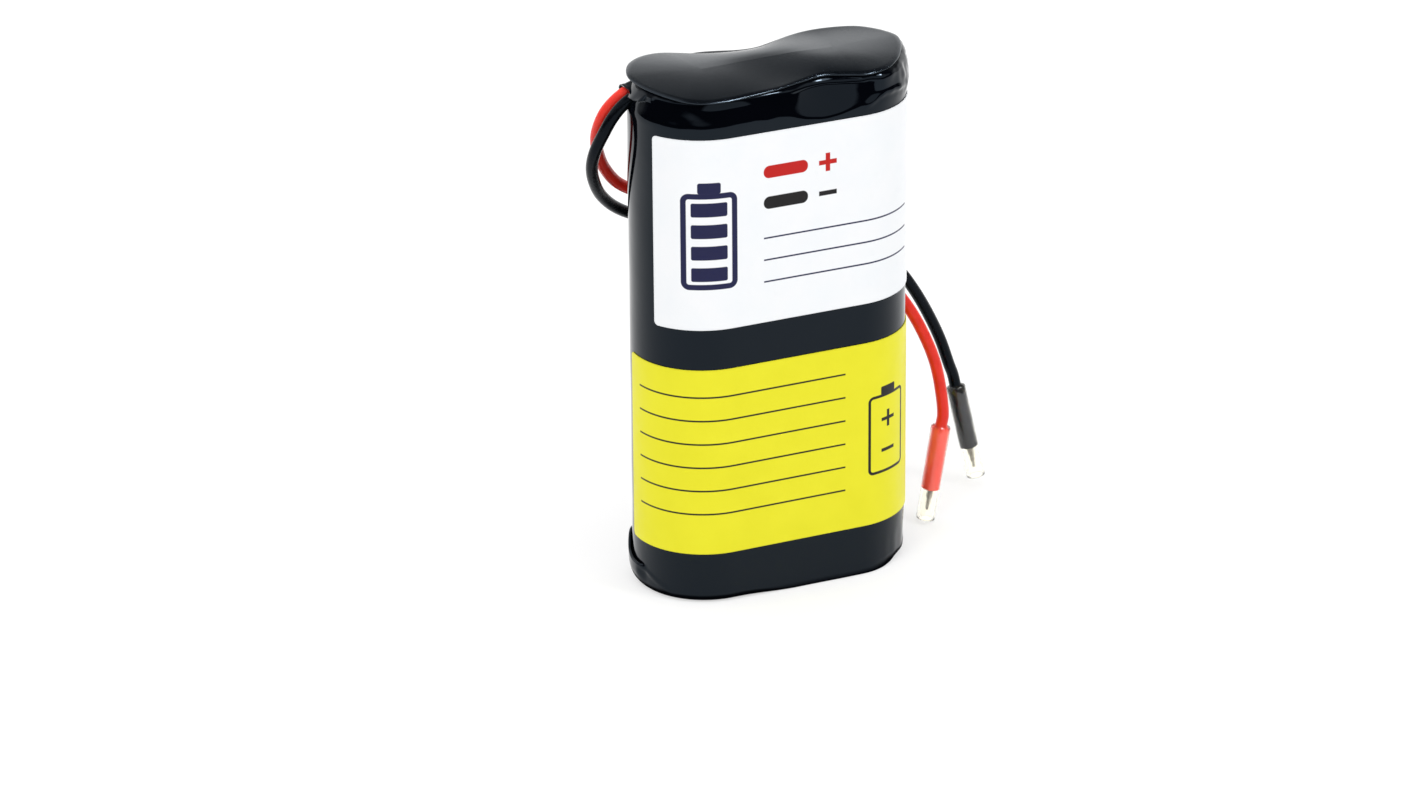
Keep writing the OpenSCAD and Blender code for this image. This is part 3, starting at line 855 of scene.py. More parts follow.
@dataclass(frozen=True)
class PhotoCamera:
    """The camera at the photograph's angle: where it looks from and at, and its focal length in pixels."""

    azimuth: float = -23.91
    elevation: float = 23.75
    roll: float = -0.49
    distance: float = 773.98 * MM
    target: Triple = (-8.735 * MM, -0.848 * MM, 25.19 * MM)
    focal_pixels: float = 5948.4

    def build(self) -> None:
        """Puts the camera where the photograph was taken from."""
        data = bpy.data.cameras.new("photo_camera")
        data.sensor_width = SENSOR_MM
        data.lens = SENSOR_MM * self.focal_pixels / PHOTO_WIDTH
        camera = link("photo_camera", data)
        back = towards(self.azimuth, self.elevation)
        camera.location = Vector(self.target) + back * self.distance
        aim(camera, back, self.roll)
        bpy.context.scene.camera = camera


@dataclass(frozen=True)
class Floor:
    """A wide pale floor that keeps the pack's shadow, with a painted contact shade that reflections see
    close to the foot.
    """

    radius: float = 6.0
    sides: int = 96
    colour: Colour = (0.46, 0.46, 0.46, 1.0)
    shade: Colour = (0.44, 0.44, 0.44, 1.0)
    grain: float = 0.25
    roughness: float = 0.9
    mirrored_glow: float = 0.8
    seen_glow: float = 0.52
    # How far from the foot the painted contact shade reaches, and how dark it is there.
    contact_shade_span: Spread = Spread(9.8 * MM, 11.0 * MM, 0.98, 0.0)

    def build(self) -> None:
        """Lays the floor."""
        bpy.ops.object.select_all(action="DESELECT")
        bpy.ops.mesh.primitive_circle_add(vertices=self.sides, radius=self.radius, fill_type="NGON")
        floor = bpy.context.object
        floor.name = "floor"
        floor.data.materials.append(self.material())

    def material(self) -> bpy.types.Material:
        """Builds the floor's material, which is paler to the camera than it lights.

        Returns:
            The material.
        """
        made = bpy.data.materials.new("pale_floor")
        sheet = Sheet.blank(made)
        place = sheet.place()
        rays = sheet.add("ShaderNodeLightPath").outputs
        lit = self.painted_contact_shade(sheet, place, rays["Is Glossy Ray"])
        tone = sheet.blend(sheet.grain(place, EVEN, self.grain)["Tone"], self.colour, self.shade)
        mirrored = sheet.math("MAXIMUM", rays["Is Glossy Ray"], rays["Is Transmission Ray"])
        # Close to the foot, the glow and the base colour that reflections see carry the painted contact
        # shade.
        glow = sheet.product(mirrored, self.mirrored_glow, lit)
        glow = sheet.total(glow, sheet.product(rays["Is Camera Ray"], self.seen_glow))
        shader = sheet.add("ShaderNodeBsdfPrincipled", {
            "Base Color": sheet.blend(lit, BLACK, tone), "Roughness": self.roughness,
            "Specular IOR Level": 0.0, "Emission Color": WHITE, "Emission Strength": glow})
        sheet.add("ShaderNodeOutputMaterial", {"Surface": shader.outputs[0]})
        return made

    def painted_contact_shade(self, sheet: Sheet, place: Socket, mirrored: Socket) -> Socket:
        """Gives the painted contact shade: how light the floor is, less than 1 close to the pack's foot as
        reflections see it.

        Args:
            sheet: the material's sheet.
            place: the place on the floor.
            mirrored: 1 where a reflection sees the floor.

        Returns:
            The share of the floor's light that is left.
        """
        axes = sheet.axes(place)
        along = sheet.math("SUBTRACT", sheet.math("ABSOLUTE", axes["X"]), HALF_PITCH)
        away = sheet.vector("LENGTH", sheet.flat(sheet.math("MAXIMUM", along, 0.0), axes["Y"]))
        near = sheet.spread(away, self.contact_shade_span)
        return sheet.math("SUBTRACT", 1.0, sheet.product(near, mirrored))


@dataclass(frozen=True)
class Panel:
    """A lit patch of the room that reflections see, with its half widths in degrees and its level."""

    azimuth: float
    elevation: float
    inner: float
    outer: float
    level: float

    def glow(self, sheet: Sheet, way: Socket) -> Socket:
        """Gives the panel's light along a way.

        Args:
            sheet: the world's sheet.
            way: the direction that is looked in.

        Returns:
            The level there.
        """
        facing = sheet.vector("DOT_PRODUCT", way, tuple(towards(self.azimuth, self.elevation)))
        low, high = math.cos(math.radians(self.outer)), math.cos(math.radians(self.inner))
        return sheet.spread(facing, Spread(low, high, 0.0, self.level))


@dataclass(frozen=True)
class Room:
    """Even light all round, which reflections see as a pale backdrop, a dim room, a shelf and lit panels.

    Facing is the front's azimuth. The spreads map how far to the front, or how high, a direction points.
    """

    facing: float
    backdrop: Spread = Spread(-0.75, -0.2, 1.3, 0.012)
    upper: Spread = Spread(0.3, 0.45, 1.0, 0.235)
    ceiling: Spread = Spread(0.62, 0.8, 1.0, 0.1)
    shelf_low: Spread = Spread(0.26, 0.34)
    shelf_high: Spread = Spread(0.72, 0.8, 1.0, 0.0)
    shelf_front: Spread = Spread(-0.2, 0.0)
    soft_level: float = 1.12
    sleeve_level: float = 0.9
    half_bounce: float = 0.5
    panels: tuple[Panel, ...] = (
        Panel(36.0, 62.0, 14.0, 17.0, 8.0),
        Panel(48.0, 59.0, 5.0, 7.0, 80.0),
        Panel(-133.0, 36.0, 22.0, 34.0, 0.8),
    )

    def build(self) -> None:
        """Builds the world: white to the camera, soft light on surfaces, and the room in reflections."""
        world = bpy.data.worlds.new("studio_room")
        sheet = Sheet.blank(world)
        room = self.seen(sheet, sheet.place("Generated"))
        rays = sheet.add("ShaderNodeLightPath").outputs
        clear = rays["Is Transmission Ray"]
        direct = sheet.math("LESS_THAN", rays["Diffuse Depth"], self.half_bounce)
        through = sheet.product(clear, direct)
        mirrored = sheet.math("MAXIMUM", rays["Is Glossy Ray"], through)
        unseen = sheet.math("SUBTRACT", 1.0, mirrored)
        soft = sheet.math("SUBTRACT", unseen, rays["Is Camera Ray"], clamp=True)
        sleeved = sheet.math("SUBTRACT", clear, through)
        level = sheet.total(
            sheet.product(room, mirrored), rays["Is Camera Ray"],
            sheet.product(soft, self.soft_level), sheet.product(sleeved, self.sleeve_level))
        glow = sheet.add("ShaderNodeBackground", {"Color": WHITE, "Strength": level})
        sheet.add("ShaderNodeOutputWorld", {"Surface": glow.outputs[0]})
        bpy.context.scene.world = world

    def seen(self, sheet: Sheet, way: Socket) -> Socket:
        """Gives the level of the room that reflections see.

        Args:
            sheet: the world's sheet.
            way: the direction that is looked in.

        Returns:
            The level there.
        """
        height = sheet.axes(way)["Z"]
        front = sheet.vector("DOT_PRODUCT", way, tuple(towards(self.facing, 0.0)))
        walls = sheet.product(
            sheet.spread(front, self.backdrop), sheet.spread(height, self.upper),
            sheet.spread(height, self.ceiling))
        shelf = sheet.product(
            sheet.spread(height, self.shelf_low), sheet.spread(height, self.shelf_high),
            sheet.spread(front, self.shelf_front))
        return sheet.total(walls, shelf, *(panel.glow(sheet, way) for panel in self.panels))


@dataclass(frozen=True)
class Lamp:
    """A soft square lamp that faces the pack: where it hangs, its edge length, and its power in watts."""

    name: str
    azimuth: float
    elevation: float
    reach: float
    size: float
    power: float
    middle: Triple = (0.0, 0.0, 35.0 * MM)

    def build(self) -> None:
        """Hangs the lamp, out of sight of reflections."""
        data = bpy.data.lights.new(self.name, "AREA")
        data.size = self.size
        data.energy = self.power
        lamp = link(self.name, data)
        way = towards(self.azimuth, self.elevation)
        lamp.location = Vector(self.middle) + way * self.reach
        lamp.visible_glossy = False
        aim(lamp, way)


@dataclass(frozen=True)
class Studio:
    """The camera at the photograph's angle, a pale floor, a pale surround and two soft lamps."""

    camera: PhotoCamera = PhotoCamera()
    floor: Floor = Floor()
    lamps: tuple[Lamp, ...] = (
        Lamp("key_lamp", -55.0, 52.0, 1.25, 0.4, 3.4),
        Lamp("side_lamp", 40.0, 42.0, 1.4, 0.25, 3.2),
    )

    def build(self) -> None:
        """Sets up the view, the camera, the floor, the room and the lamps."""
        bpy.context.scene.view_settings.view_transform = "Standard"
        for part in (self.camera, self.floor, Room(self.camera.azimuth), *self.lamps):
            part.build()


@dataclass(frozen=True)
class Outline:
    """The pack's round-ended outline, read as an anchor on its spine and a way outwards.

    Shares are how much of the way round each stretch takes, and near_end is how far out an end begins.
    """

    half_pitch: float
    radius: float
    shares: tuple[float, ...] = (0.06, 0.38, 0.2, 0.3, 0.06)
    near_end: float = 0.99

    @classmethod
    def around(cls, node: str) -> "Outline":
        """Takes the outline of a CAD node from its box.

        Args:
            node: the node's name.

        Returns:
            The outline.
        """
        low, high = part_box(node)
        radius = 0.5 * (high.y - low.y)
        return cls(0.5 * (high.x - low.x) - radius, radius)

    def read(self, share: float) -> tuple[Vector, Vector]:
        """Reads the outline from the middle of the back, past the left end to the front.

        Args:
            share: how far round, from 0 to 1.

        Returns:
            The anchor on the spine and the unit vector outwards.
        """
        done = 0.0
        for stretch, span in zip(Stretch, self.shares):
            if share <= done + span or stretch is Stretch.BACK_RIGHT:
                break
            done += span
        along = min(1.0, (share - done) / span)
        start, end = stretch.value
        anchor = Vector((self.half_pitch * (start + (end - start) * along), 0.0, 0.0))
        if stretch in (Stretch.LEFT_END, Stretch.RIGHT_END):
            turn = math.pi * along - start * math.pi / 2.0
            return anchor, Vector((math.cos(turn), math.sin(turn), 0.0))
        return anchor, -ALONG_Y if stretch is Stretch.FRONT else ALONG_Y.copy()

    def along(self, length: float) -> tuple[Vector, Vector]:
        """Reads the outline at a true distance from the middle of the front, to the right if positive.

        Args:
            length: the distance along the outline.

        Returns:
            The anchor on the spine and the unit vector outwards.
        """
        side = math.copysign(1.0, length)
        beyond = abs(length) - self.half_pitch
        if beyond <= 0.0:
            return Vector((length, 0.0, 0.0)), -ALONG_Y
        turn = beyond / self.radius
        anchor = Vector((side * self.half_pitch, 0.0, 0.0))
        return anchor, Vector((side * math.sin(turn), -math.cos(turn), 0.0))

    def at_left(self, anchor: Vector) -> bool:
        """Tells whether an anchor is at the left end of the spine."""
        return anchor.x < -self.near_end * self.half_pitch

    def at_right(self, anchor: Vector) -> bool:
        """Tells whether an anchor is at the right end of the spine."""
        return anchor.x > self.near_end * self.half_pitch


PLATE_OUTLINE: tuple[Pair, ...] = (
    (-17.85, 3.4), (-17.65, 0.2), (-16.9, -2.6), (-15.7, -5.3), (-14.2, -7.5), (-12.2, -8.8), (-9.4, -9.2),
    (-6.2, -8.9), (-2.3, -8.4), (1.0, -7.5), (4.9, -6.8), (7.7, -7.9), (10.2, -8.9), (13.1, -8.2),
    (15.6, -6.0), (17.6, -3.0), (18.7, -0.5), (19.0, 1.3), (18.4, 3.1), (17.3, 4.8), (15.6, 6.4),
    (12.2, 7.5), (8.8, 7.7), (5.6, 7.0), (3.2, 5.9), (0.8, 5.1), (-2.2, 5.2), (-6.6, 6.7), (-9.0, 8.2),
    (-11.3, 9.3), (-13.7, 9.2), (-15.8, 7.9), (-17.1, 5.9))


@dataclass
class TopForm:
    """The shrunken top: the plate's rim, its lean, and how far the film draws in under it.

    The floors are how far in the film can go before cells or frame hold it out, at the lobes and the waists.
    """

    rise: float = 0.1 * MM
    lean_x: float = 0.02
    lean_y: float = 0.03
    lobe_floor: float = 8.65 * MM
    front_floor: float = 7.2 * MM
    front_waist: Hump = Hump(4.0 * MM, 6.0 * MM)
    back_floor: float = 6.9 * MM
    back_waist: Hump = Hump(0.5 * MM, 7.5 * MM)
    broad_side: Ramp = Ramp(0.6, 0.95)
    end_draw: float = 0.15 * MM
    end_part: Ramp = Ramp(-0.2, -0.8)
    bulge: float = 0.03
    overhang: float = 0.065
    dent: float = 0.9 * MM
    dent_x: Hump = Hump(9.6 * MM, 2.8 * MM)
    dent_front: Ramp = Ramp(0.0, -0.5)
    steps: int = 8
    rim: list[Vector] = field(default_factory=list, init=False)
    known: dict[Triple, float] = field(default_factory=dict, init=False)

    def __post_init__(self) -> None:
        """Draws the plate's smooth rim through its outline points."""
        knots = [Vector((x, y, 0.0)) * MM for x, y in PLATE_OUTLINE]
        count = len(knots)
        for index in range(count):
            four = [knots[(index + step) % count] for step in (-1, 0, 1, 2)]
            self.rim.extend(curve_between(*four, step / self.steps) for step in range(self.steps))

    def lift(self, point: Vector) -> float:
        """Gives how far the top stands above its plain height at a point."""
        return self.rise + self.lean_x * point.x + self.lean_y * point.y

    def reach(self, anchor: Vector, way: Vector) -> float:
        """Measures from the spine out to the plate's rim.

        Args:
            anchor: the point on the spine.
            way: the unit vector outwards.

        Returns:
            The distance.
        """
        key = (round(anchor.x, 7), round(way.x, 6), round(way.y, 6))
        if key not in self.known:
            found = [0.0]
            for start, end in zip(self.rim, self.rim[1:] + self.rim[:1]):
                side = end - start
                cross = way.x * side.y - way.y * side.x
                if abs(cross) < PARALLEL:
                    continue
                gap = start - anchor
                along = (gap.x * way.y - gap.y * way.x) / cross
                if 0.0 <= along <= 1.0:
                    found.append((gap.x * side.y - gap.y * side.x) / cross)
            self.known[key] = max(found)
        return self.known[key]

    def film_reach(self, anchor: Vector, way: Vector) -> float:
        """Measures from the spine out to the film's upper edge.

        Args:
            anchor: the point on the spine.
            way: the unit vector outwards.

        Returns:
            The distance, beyond the plate where cells or frame hold the film out.
        """
        front = way.y < 0.0
        waist, low = (self.front_waist, self.front_floor) if front else (self.back_waist, self.back_floor)
        waisted = waist.at(anchor.x) * self.broad_side.at(abs(way.y))
        floor = self.lobe_floor + (low - self.lobe_floor) * waisted - self.end_draw * self.end_part.at(way.x)
        reach = self.reach(anchor, way)
        where = (anchor + way * reach).x
        reach += where * (self.bulge if where > 0.0 else self.overhang)
        reach -= self.dent * self.dent_x.at(where) * self.dent_front.at(way.y)
        return max(floor, reach)


@dataclass(frozen=True)
class FilmSwell:
    """How the film departs from a plain wall: slow waves all over, and a fuller right end.

    Heights on the film, such as shoulder_z, are in millimetres.
    """

    taut: float = 0.02 * MM
    broad_waves: Waves = Waves(0.05 * MM, 0.16)
    upper_waves: Waves = Waves(0.06 * MM, 0.5, (3.1, 7.7, 0.0))
    upper_z: Ramp = Ramp(64.5, 67.0)
    right_waves: Waves = Waves(0.16 * MM, 0.75, (1.3, 2.9, 0.0))
    right_end: Ramp = Ramp(0.1, 0.9)
    shoulder: float = 0.4 * MM
    shoulder_z: Hump = Hump(67.2, 2.6)
    tuck: float = 0.13 * MM
    tuck_z: Ramp = Ramp(7.0, 1.4)
    heel: float = 0.6 * MM
    heel_z: Ramp = Ramp(1.25, 0.2)
    gather: float = 0.03 * MM
    gather_z: Ramp = Ramp(6.2, 3.2)
    gather_count: float = 26.0
    gather_drift: float = 2.0
    gather_drifts: float = 5.0

    def at(self, way: Vector, spot: Vector) -> float:
        """Reads how far the film stands out of, or in from, its plain wall.

        Args:
            way: the unit vector outwards.
            spot: the place on the plain wall, in millimetres.

        Returns:
            The distance outwards.
        """
        upper = self.upper_z.at(spot.z)
        turn = math.atan2(way.y, way.x)
        drift = self.gather_drift * math.sin(self.gather_drifts * turn)
        gathers = math.sin(self.gather_count * turn + drift)
        fuller = upper * self.right_waves.at(spot) + self.shoulder * self.shoulder_z.at(spot.z)
        fuller -= self.tuck * self.tuck_z.at(spot.z) + self.heel * self.heel_z.at(spot.z)
        fuller += self.gather * self.gather_z.at(spot.z) * gathers
        even = self.broad_waves.at(spot) - self.taut + upper * self.upper_waves.at(spot)
        return even + self.right_end.at(way.x) * fuller


@dataclass(frozen=True)
class Wrinkle:
    """The broken ridge that climbs round the right end's upper edge.

    Turns are degrees round from the front, and heights are in millimetres.
    """

    tall: float = 0.24 * MM
    half: float = 0.65
    low_z: float = 65.75
    climb: float = 1.35
    climb_turn: Ramp = Ramp(-4.0, 20.0)
    drop: float = 0.3
    drop_turn: Ramp = Ramp(34.0, 50.0)
    starts: Ramp = Ramp(0.0, 6.0)
    ends: Ramp = Ramp(62.0, 44.0)
    whole: float = 0.8
    breaks: Waves = Waves(0.7, 0.9)

    def at(self, way: Vector, spot: Vector) -> float:
        """Reads how far the ridge stands out.

        Args:
            way: the unit vector outwards.
            spot: the place on the plain wall, in millimetres.

        Returns:
            The distance outwards.
        """
        turn = math.degrees(math.atan2(way.x, -way.y))
        line = self.low_z + self.climb * self.climb_turn.at(turn) - self.drop * self.drop_turn.at(turn)
        share = self.starts.at(turn) * self.ends.at(turn) * (self.whole + self.breaks.at(spot))
        return self.tall * share * Hump(line, self.half).at(spot.z)


@dataclass(frozen=True)
class Flap:
    """The film's flap over the leads at the left end, proud of the wall below its edge.

    Turns are degrees from the left end's middle round to the front.
    """

    edge_z: float = 68.3 * MM
    reach: float = 9.65 * MM
    slant: float = 1.15 * MM
    front_rise: float = 0.9 * MM
    front_turn: Ramp = Ramp(0.0, 20.0)
    back_drop: float = 0.8 * MM
    back_turn: Ramp = Ramp(0.0, -20.0)
    back_end: Ramp = Ramp(-54.0, -36.0)
    front_end: Ramp = Ramp(26.0, 14.0)
    lip: Ramp = Ramp(-0.15 * MM, 0.1 * MM)
    hem: float = 0.2 * MM

    def lay(self, wall: float, turn: float, height: float, top_z: float) -> float:
        """Lays the flap over the plain wall.

        Args:
            wall: how far out the plain wall stands.
            turn: the turn round the left end.
            height: the height on the film.
            top_z: the height of the film's upper hem.

        Returns:
            How far out the film stands.
        """
        edge = self.edge_z + self.front_rise * self.front_turn.at(turn)
        edge -= self.back_drop * self.back_turn.at(turn)
        share = self.back_end.at(turn) * self.front_end.at(turn) * self.lip.at(height - edge)
        slanted = max(0.0, (height - edge) / (top_z - self.hem - edge))
        return wall + share * (self.reach - slanted * self.slant - wall)


@dataclass(frozen=True)
class Fold:
    """The fold at the film's lower left: a lip that stands out in front of a narrow pocket.

    Turns are degrees from the left end's middle round to the front. Heights, apart from z, are in
    millimetres above the fold.
    """

    z: float = 3.6 * MM
    out: float = 0.55 * MM
    deep: float = 1.5 * MM
    front_end: Ramp = Ramp(13.0, 2.0)
    back_end: Ramp = Ramp(-58.0, -34.0)
    swells: Ramp = Ramp(-3.4, -1.2)
    lip_step: Ramp = Ramp(0.1, -0.15)
    lip_slope: Ramp = Ramp(0.5, 0.1)
    pocket: Hump = Hump(0.48, 0.42)
    ridge: float = 0.1 * MM
    ridge_starts: Ramp = Ramp(2.0, 9.0)
    ridge_ends: Ramp = Ramp(46.0, 30.0)
    ridge_line: Hump = Hump(-0.3, 0.6)
    ridge_fall: float = 0.075
    ridge_from: float = 8.0
    near_rise: float = 0.3 * MM
    near_turn: Ramp = Ramp(-6.0, -18.0)
    far_rise: float = 1.9 * MM
    far_turn: Ramp = Ramp(-15.0, -36.0)
    rise_end: Ramp = Ramp(-80.0, -55.0)
    rise_low: Ramp = Ramp(-3.1, -0.4)
    rise_high: Ramp = Ramp(16.0, 1.2)

    def at(self, turn: float, height: float) -> Pair:
        """Reads how the fold moves the film.

        Args:
            turn: the turn round the left end.
            height: the height on the plain film.

        Returns:
            How far out and how far up the film is moved.
        """
        above = (height - self.z) / MM
        share = self.front_end.at(turn) * self.back_end.at(turn)
        lip = 0.5 * (self.lip_step.at(above) + self.lip_slope.at(above)) * self.swells.at(above)
        ridge = self.ridge * self.ridge_starts.at(turn) * self.ridge_ends.at(turn)
        ridge *= self.ridge_line.at(above + self.ridge_fall * (turn - self.ridge_from))
        rise = self.near_rise * self.near_turn.at(turn) + self.far_rise * self.far_turn.at(turn)
        rise *= self.rise_end.at(turn) * self.rise_low.at(above) * self.rise_high.at(above)
        return share * self.out * lip + ridge, rise - share * self.deep * self.pocket.at(above)


@dataclass
class ShrinkSleeve:
    """The black shrink film round both cells, drawn in under the cover plate and over the foot.

    Hem holds the insets of the rings on each flat hem, from its opening. Bands are heights on the plain
    wall, each with the number of rings that lead up to it.
    """

    outline: Outline
    top: TopForm
    box_top: float
    hem_rise: float = 0.22 * MM
    wall: float = 0.2 * MM
    sides: int = 300
    hem: tuple[float, ...] = (3.5 * MM, 2.6 * MM, 1.8 * MM)
    bands: tuple[tuple[float, int], ...] = (
        (2.6 * MM, 5), (4.9 * MM, 23), (8.0 * MM, 6), (52.0 * MM, 15), (64.0 * MM, 12), (68.2 * MM, 20))
    last_band: int = 9
    foot_r: float = 1.25 * MM
    foot_steps: int = 8
    foot_sharp: float = 0.75
    foot_sharp_x: Ramp = Ramp(-8.0 * MM, 0.0)
    foot_sharp_front: Ramp = Ramp(-0.5, -0.95)
    shoulder_r: float = 0.9 * MM
    shoulder_steps: int = 10
    shoulder_slack: float = 1.001
    shoulder_tight: float = 0.65
    shoulder_tight_x: Ramp = Ramp(1.0 * MM, -3.0 * MM)
    shoulder_tight_front: Ramp = Ramp(0.3, -0.1)
    lean_z: float = 65.8 * MM
    draw_z: float = 64.9 * MM
    draw_x: Hump = Hump(4.0 * MM, 7.0 * MM)
    draw_front: Ramp = Ramp(-0.6, -0.95)
    lean_bend: float = 0.25
    ledge_r: float = 8.42 * MM
    ledge_top: float = 77.6 * MM
    ledge_x: Hump = Hump(-9.9 * MM, 5.2 * MM)
    ledge_front: Ramp = Ramp(-0.5, -0.85)
    smooth_to: float = 50.0
    swell: FilmSwell = FilmSwell()
    wrinkle: Wrinkle = Wrinkle()
    flap: Flap = Flap()
    fold: Fold = Fold()
    stations: list[Pair] = field(default_factory=list, init=False)

    def build(self) -> Piece:
        """Builds the film.

        Returns:
            The finished piece.
        """
        self.stations = self.profile()
        film = ring_mesh("outer_film", self.sides, len(self.stations), self.place)
        thicken(film, self.wall, Grow.INWARDS)
        smooth(film, self.smooth_to)
        return settle(film, FILM, Body.PACK, "outer_sleeve")

    @property
    def top_z(self) -> float:
        """The height of the film's upper hem."""
        return self.box_top + self.hem_rise

    def profile(self) -> list[Pair]:
        """Lists the film's rings from the opening below to the one above.

        Returns:
            Each ring's inset and height.
        """
        quarter = math.pi / 2.0
        rings = [(inset, 0.0) for inset in self.hem]
        for step in range(self.foot_steps + 1):
            turn = quarter * step / self.foot_steps
            rings.append((self.foot_r * (1.0 - math.sin(turn)), self.foot_r * (1.0 - math.cos(turn))))
        low = self.foot_r
        wall_top = self.top_z - self.shoulder_r
        for high, count in (*self.bands, (wall_top, self.last_band)):
            rings.extend((0.0, low + (high - low) * step / count) for step in range(1, count + 1))
            low = high
        for step in range(1, self.shoulder_steps + 1):
            turn = quarter * step / self.shoulder_steps
            inset = self.shoulder_r * (1.0 - math.cos(turn))
            rings.append((inset, wall_top + self.shoulder_r * math.sin(turn)))
        rings.extend((inset, self.top_z) for inset in reversed(self.hem))
        return rings

    def place(self, ring: int, share: float) -> Vector:
        """Places one point of the film.

        Args:
            ring: which ring it is on, from the foot.
            share: how far round it is.

        Returns:
            The point.
        """
        anchor, way = self.outline.read(share)
        inset, height = self.sharpen(*self.stations[ring], anchor, way)
        tighter = self.shoulder_tight_x.at(anchor.x) * self.shoulder_tight_front.at(way.y)
        tight = 1.0 - self.shoulder_tight * tighter
        inset, height = self.tighten(inset, height, tight)
        wall = self.drawn_wall(anchor, way, height, tight)
        spot = (anchor + way * self.outline.radius) / MM
        spot.z = height / MM
        out, raised = self.swell.at(way, spot), 0.0
        if self.outline.at_left(anchor):
            turn = math.degrees(math.atan2(-way.y, -way.x))
            wall = self.flap.lay(wall, turn, height, self.top_z)
            folded, raised = self.fold.at(turn, height)
            out += folded
        if self.outline.at_right(anchor):
            out += self.wrinkle.at(way, spot)
        point = anchor + way * (wall - inset + out)
        point.z = height + raised + self.top.lift(point) * Ramp(self.draw_z, self.top_z).at(height)
        return point

    def sharpen(self, inset: float, height: float, anchor: Vector, way: Vector) -> Pair:
        """Sharpens the round foot towards the right of the front.

        Args:
            inset: how far in the ring lies.
            height: how high the ring lies.
            anchor: the point on the spine.
            way: the unit vector outwards.

        Returns:
            The ring's inset and height there.
        """
        if height >= self.foot_r:
            return inset, height
        sharp = 1.0 - self.foot_sharp * self.foot_sharp_x.at(anchor.x) * self.foot_sharp_front.at(way.y)
        return inset * (sharp if inset <= self.foot_r else 1.0), height * sharp

    def tighten(self, inset: float, height: float, tight: float) -> Pair:
        """Tightens the round upper edge.

        Args:
            inset: how far in the ring lies.
            height: how high the ring lies.
            tight: the share of the edge's radius that is kept.

        Returns:
            The ring's inset and height there.
        """
        above = height - (self.top_z - self.shoulder_r)
        if above <= 0.0 or inset > self.shoulder_slack * self.shoulder_r:
            return inset, height
        return inset * tight, self.top_z - (self.shoulder_r - above) * tight

    def drawn_wall(self, anchor: Vector, way: Vector, height: float, tight: float) -> float:
        """Leans the wall in under the cover plate, and sets a ledge into it at the front's left.

        Args:
            anchor: the point on the spine.
            way: the unit vector outwards.
            height: the height on the film.
            tight: the share of the upper edge's radius that is kept.

        Returns:
            How far out the wall stands.
        """
        radius, bend = self.outline.radius, self.lean_bend
        waisted = self.draw_x.at(anchor.x) * self.draw_front.at(way.y)
        start = self.lean_z + (self.draw_z - self.lean_z) * waisted
        lean = (height - start) / (self.top_z - self.shoulder_r * tight - start)
        lean = min(1.0, max(0.0, lean))
        drawn = lean * lean / (2.0 * bend) if lean < bend else lean - bend / 2.0
        wall = radius + drawn / (1.0 - bend / 2.0) * (self.top.film_reach(anchor, way) - radius)
        ledge = self.ledge_x.at((anchor + way * wall).x) * self.ledge_front.at(way.y)
        return wall - ledge * max(0.0, wall - max(self.ledge_r, self.ledge_top - height))


@dataclass
class CoverPlate:
    """The satin cover plate on top, waisted between the cells, with a rolled rim and a low crown.

    Under and over are the rings below and above as shares of the plate's reach. Roll holds the rings of the
    rim, each with its share of the plate's thickness.
    """

    outline: Outline
    top: TopForm
    under_z: float
    thick: float = 0.6 * MM
    sides: int = 220
    under: tuple[float, ...] = (0.0, 0.5, 0.9)
    roll: tuple[Pair, ...] = (
        (0.95, 0.2), (0.985, 0.46), (0.998, 0.6), (1.0, 0.7), (0.997, 0.8), (0.988, 0.9), (0.974, 0.97))
    over: tuple[float, ...] = (0.955, 0.92, 0.86, 0.76, 0.64, 0.5, 0.35, 0.18, 0.0)
    crown: float = 0.77 * MM
    right_x: Ramp = Ramp(3.0 * MM, 10.0 * MM)
    right_flatter: float = 0.4
    slope: float = -0.02
    right_slope: float = -0.045
    waist_slope: float = 0.085
    waist_x: Hump = Hump(-1.0 * MM, 7.0 * MM)
    smooth_to: float = 60.0
    rings: list[Pair] = field(default_factory=list, init=False)

    def build(self) -> Piece:
        """Builds the plate.

        Returns:
            The finished piece.
        """
        below, above = [(scale, 0.0) for scale in self.under], [(scale, 1.0) for scale in self.over]
        self.rings = [*below, *self.roll, *above]
        plate = ring_mesh("cover_board", self.sides, len(self.rings), self.place)
        smooth(plate, self.smooth_to)
        return settle(plate, PLATE, Body.PACK, "cover_plate")

    def place(self, ring: int, share: float) -> Vector:
        """Places one point of the plate.

        Args:
            ring: which ring it is on, from the middle below to the middle above.
            share: how far round it is.

        Returns:
            The point.
        """
        scale, rise = self.rings[ring]
        anchor, way = self.outline.read(share)
        point = anchor + way * self.top.reach(anchor, way) * scale
        inner = 1.0 - scale * scale if rise >= 1.0 else 0.0
        right = self.right_x.at(point.x)
        slope = self.slope + self.right_slope * right + self.waist_slope * self.waist_x.at(point.x)
        crowned = inner * (self.crown * (1.0 - self.right_flatter * right) + slope * point.y)
        point.z = self.under_z + self.top.lift(point) + self.thick * rise + crowned
        return point


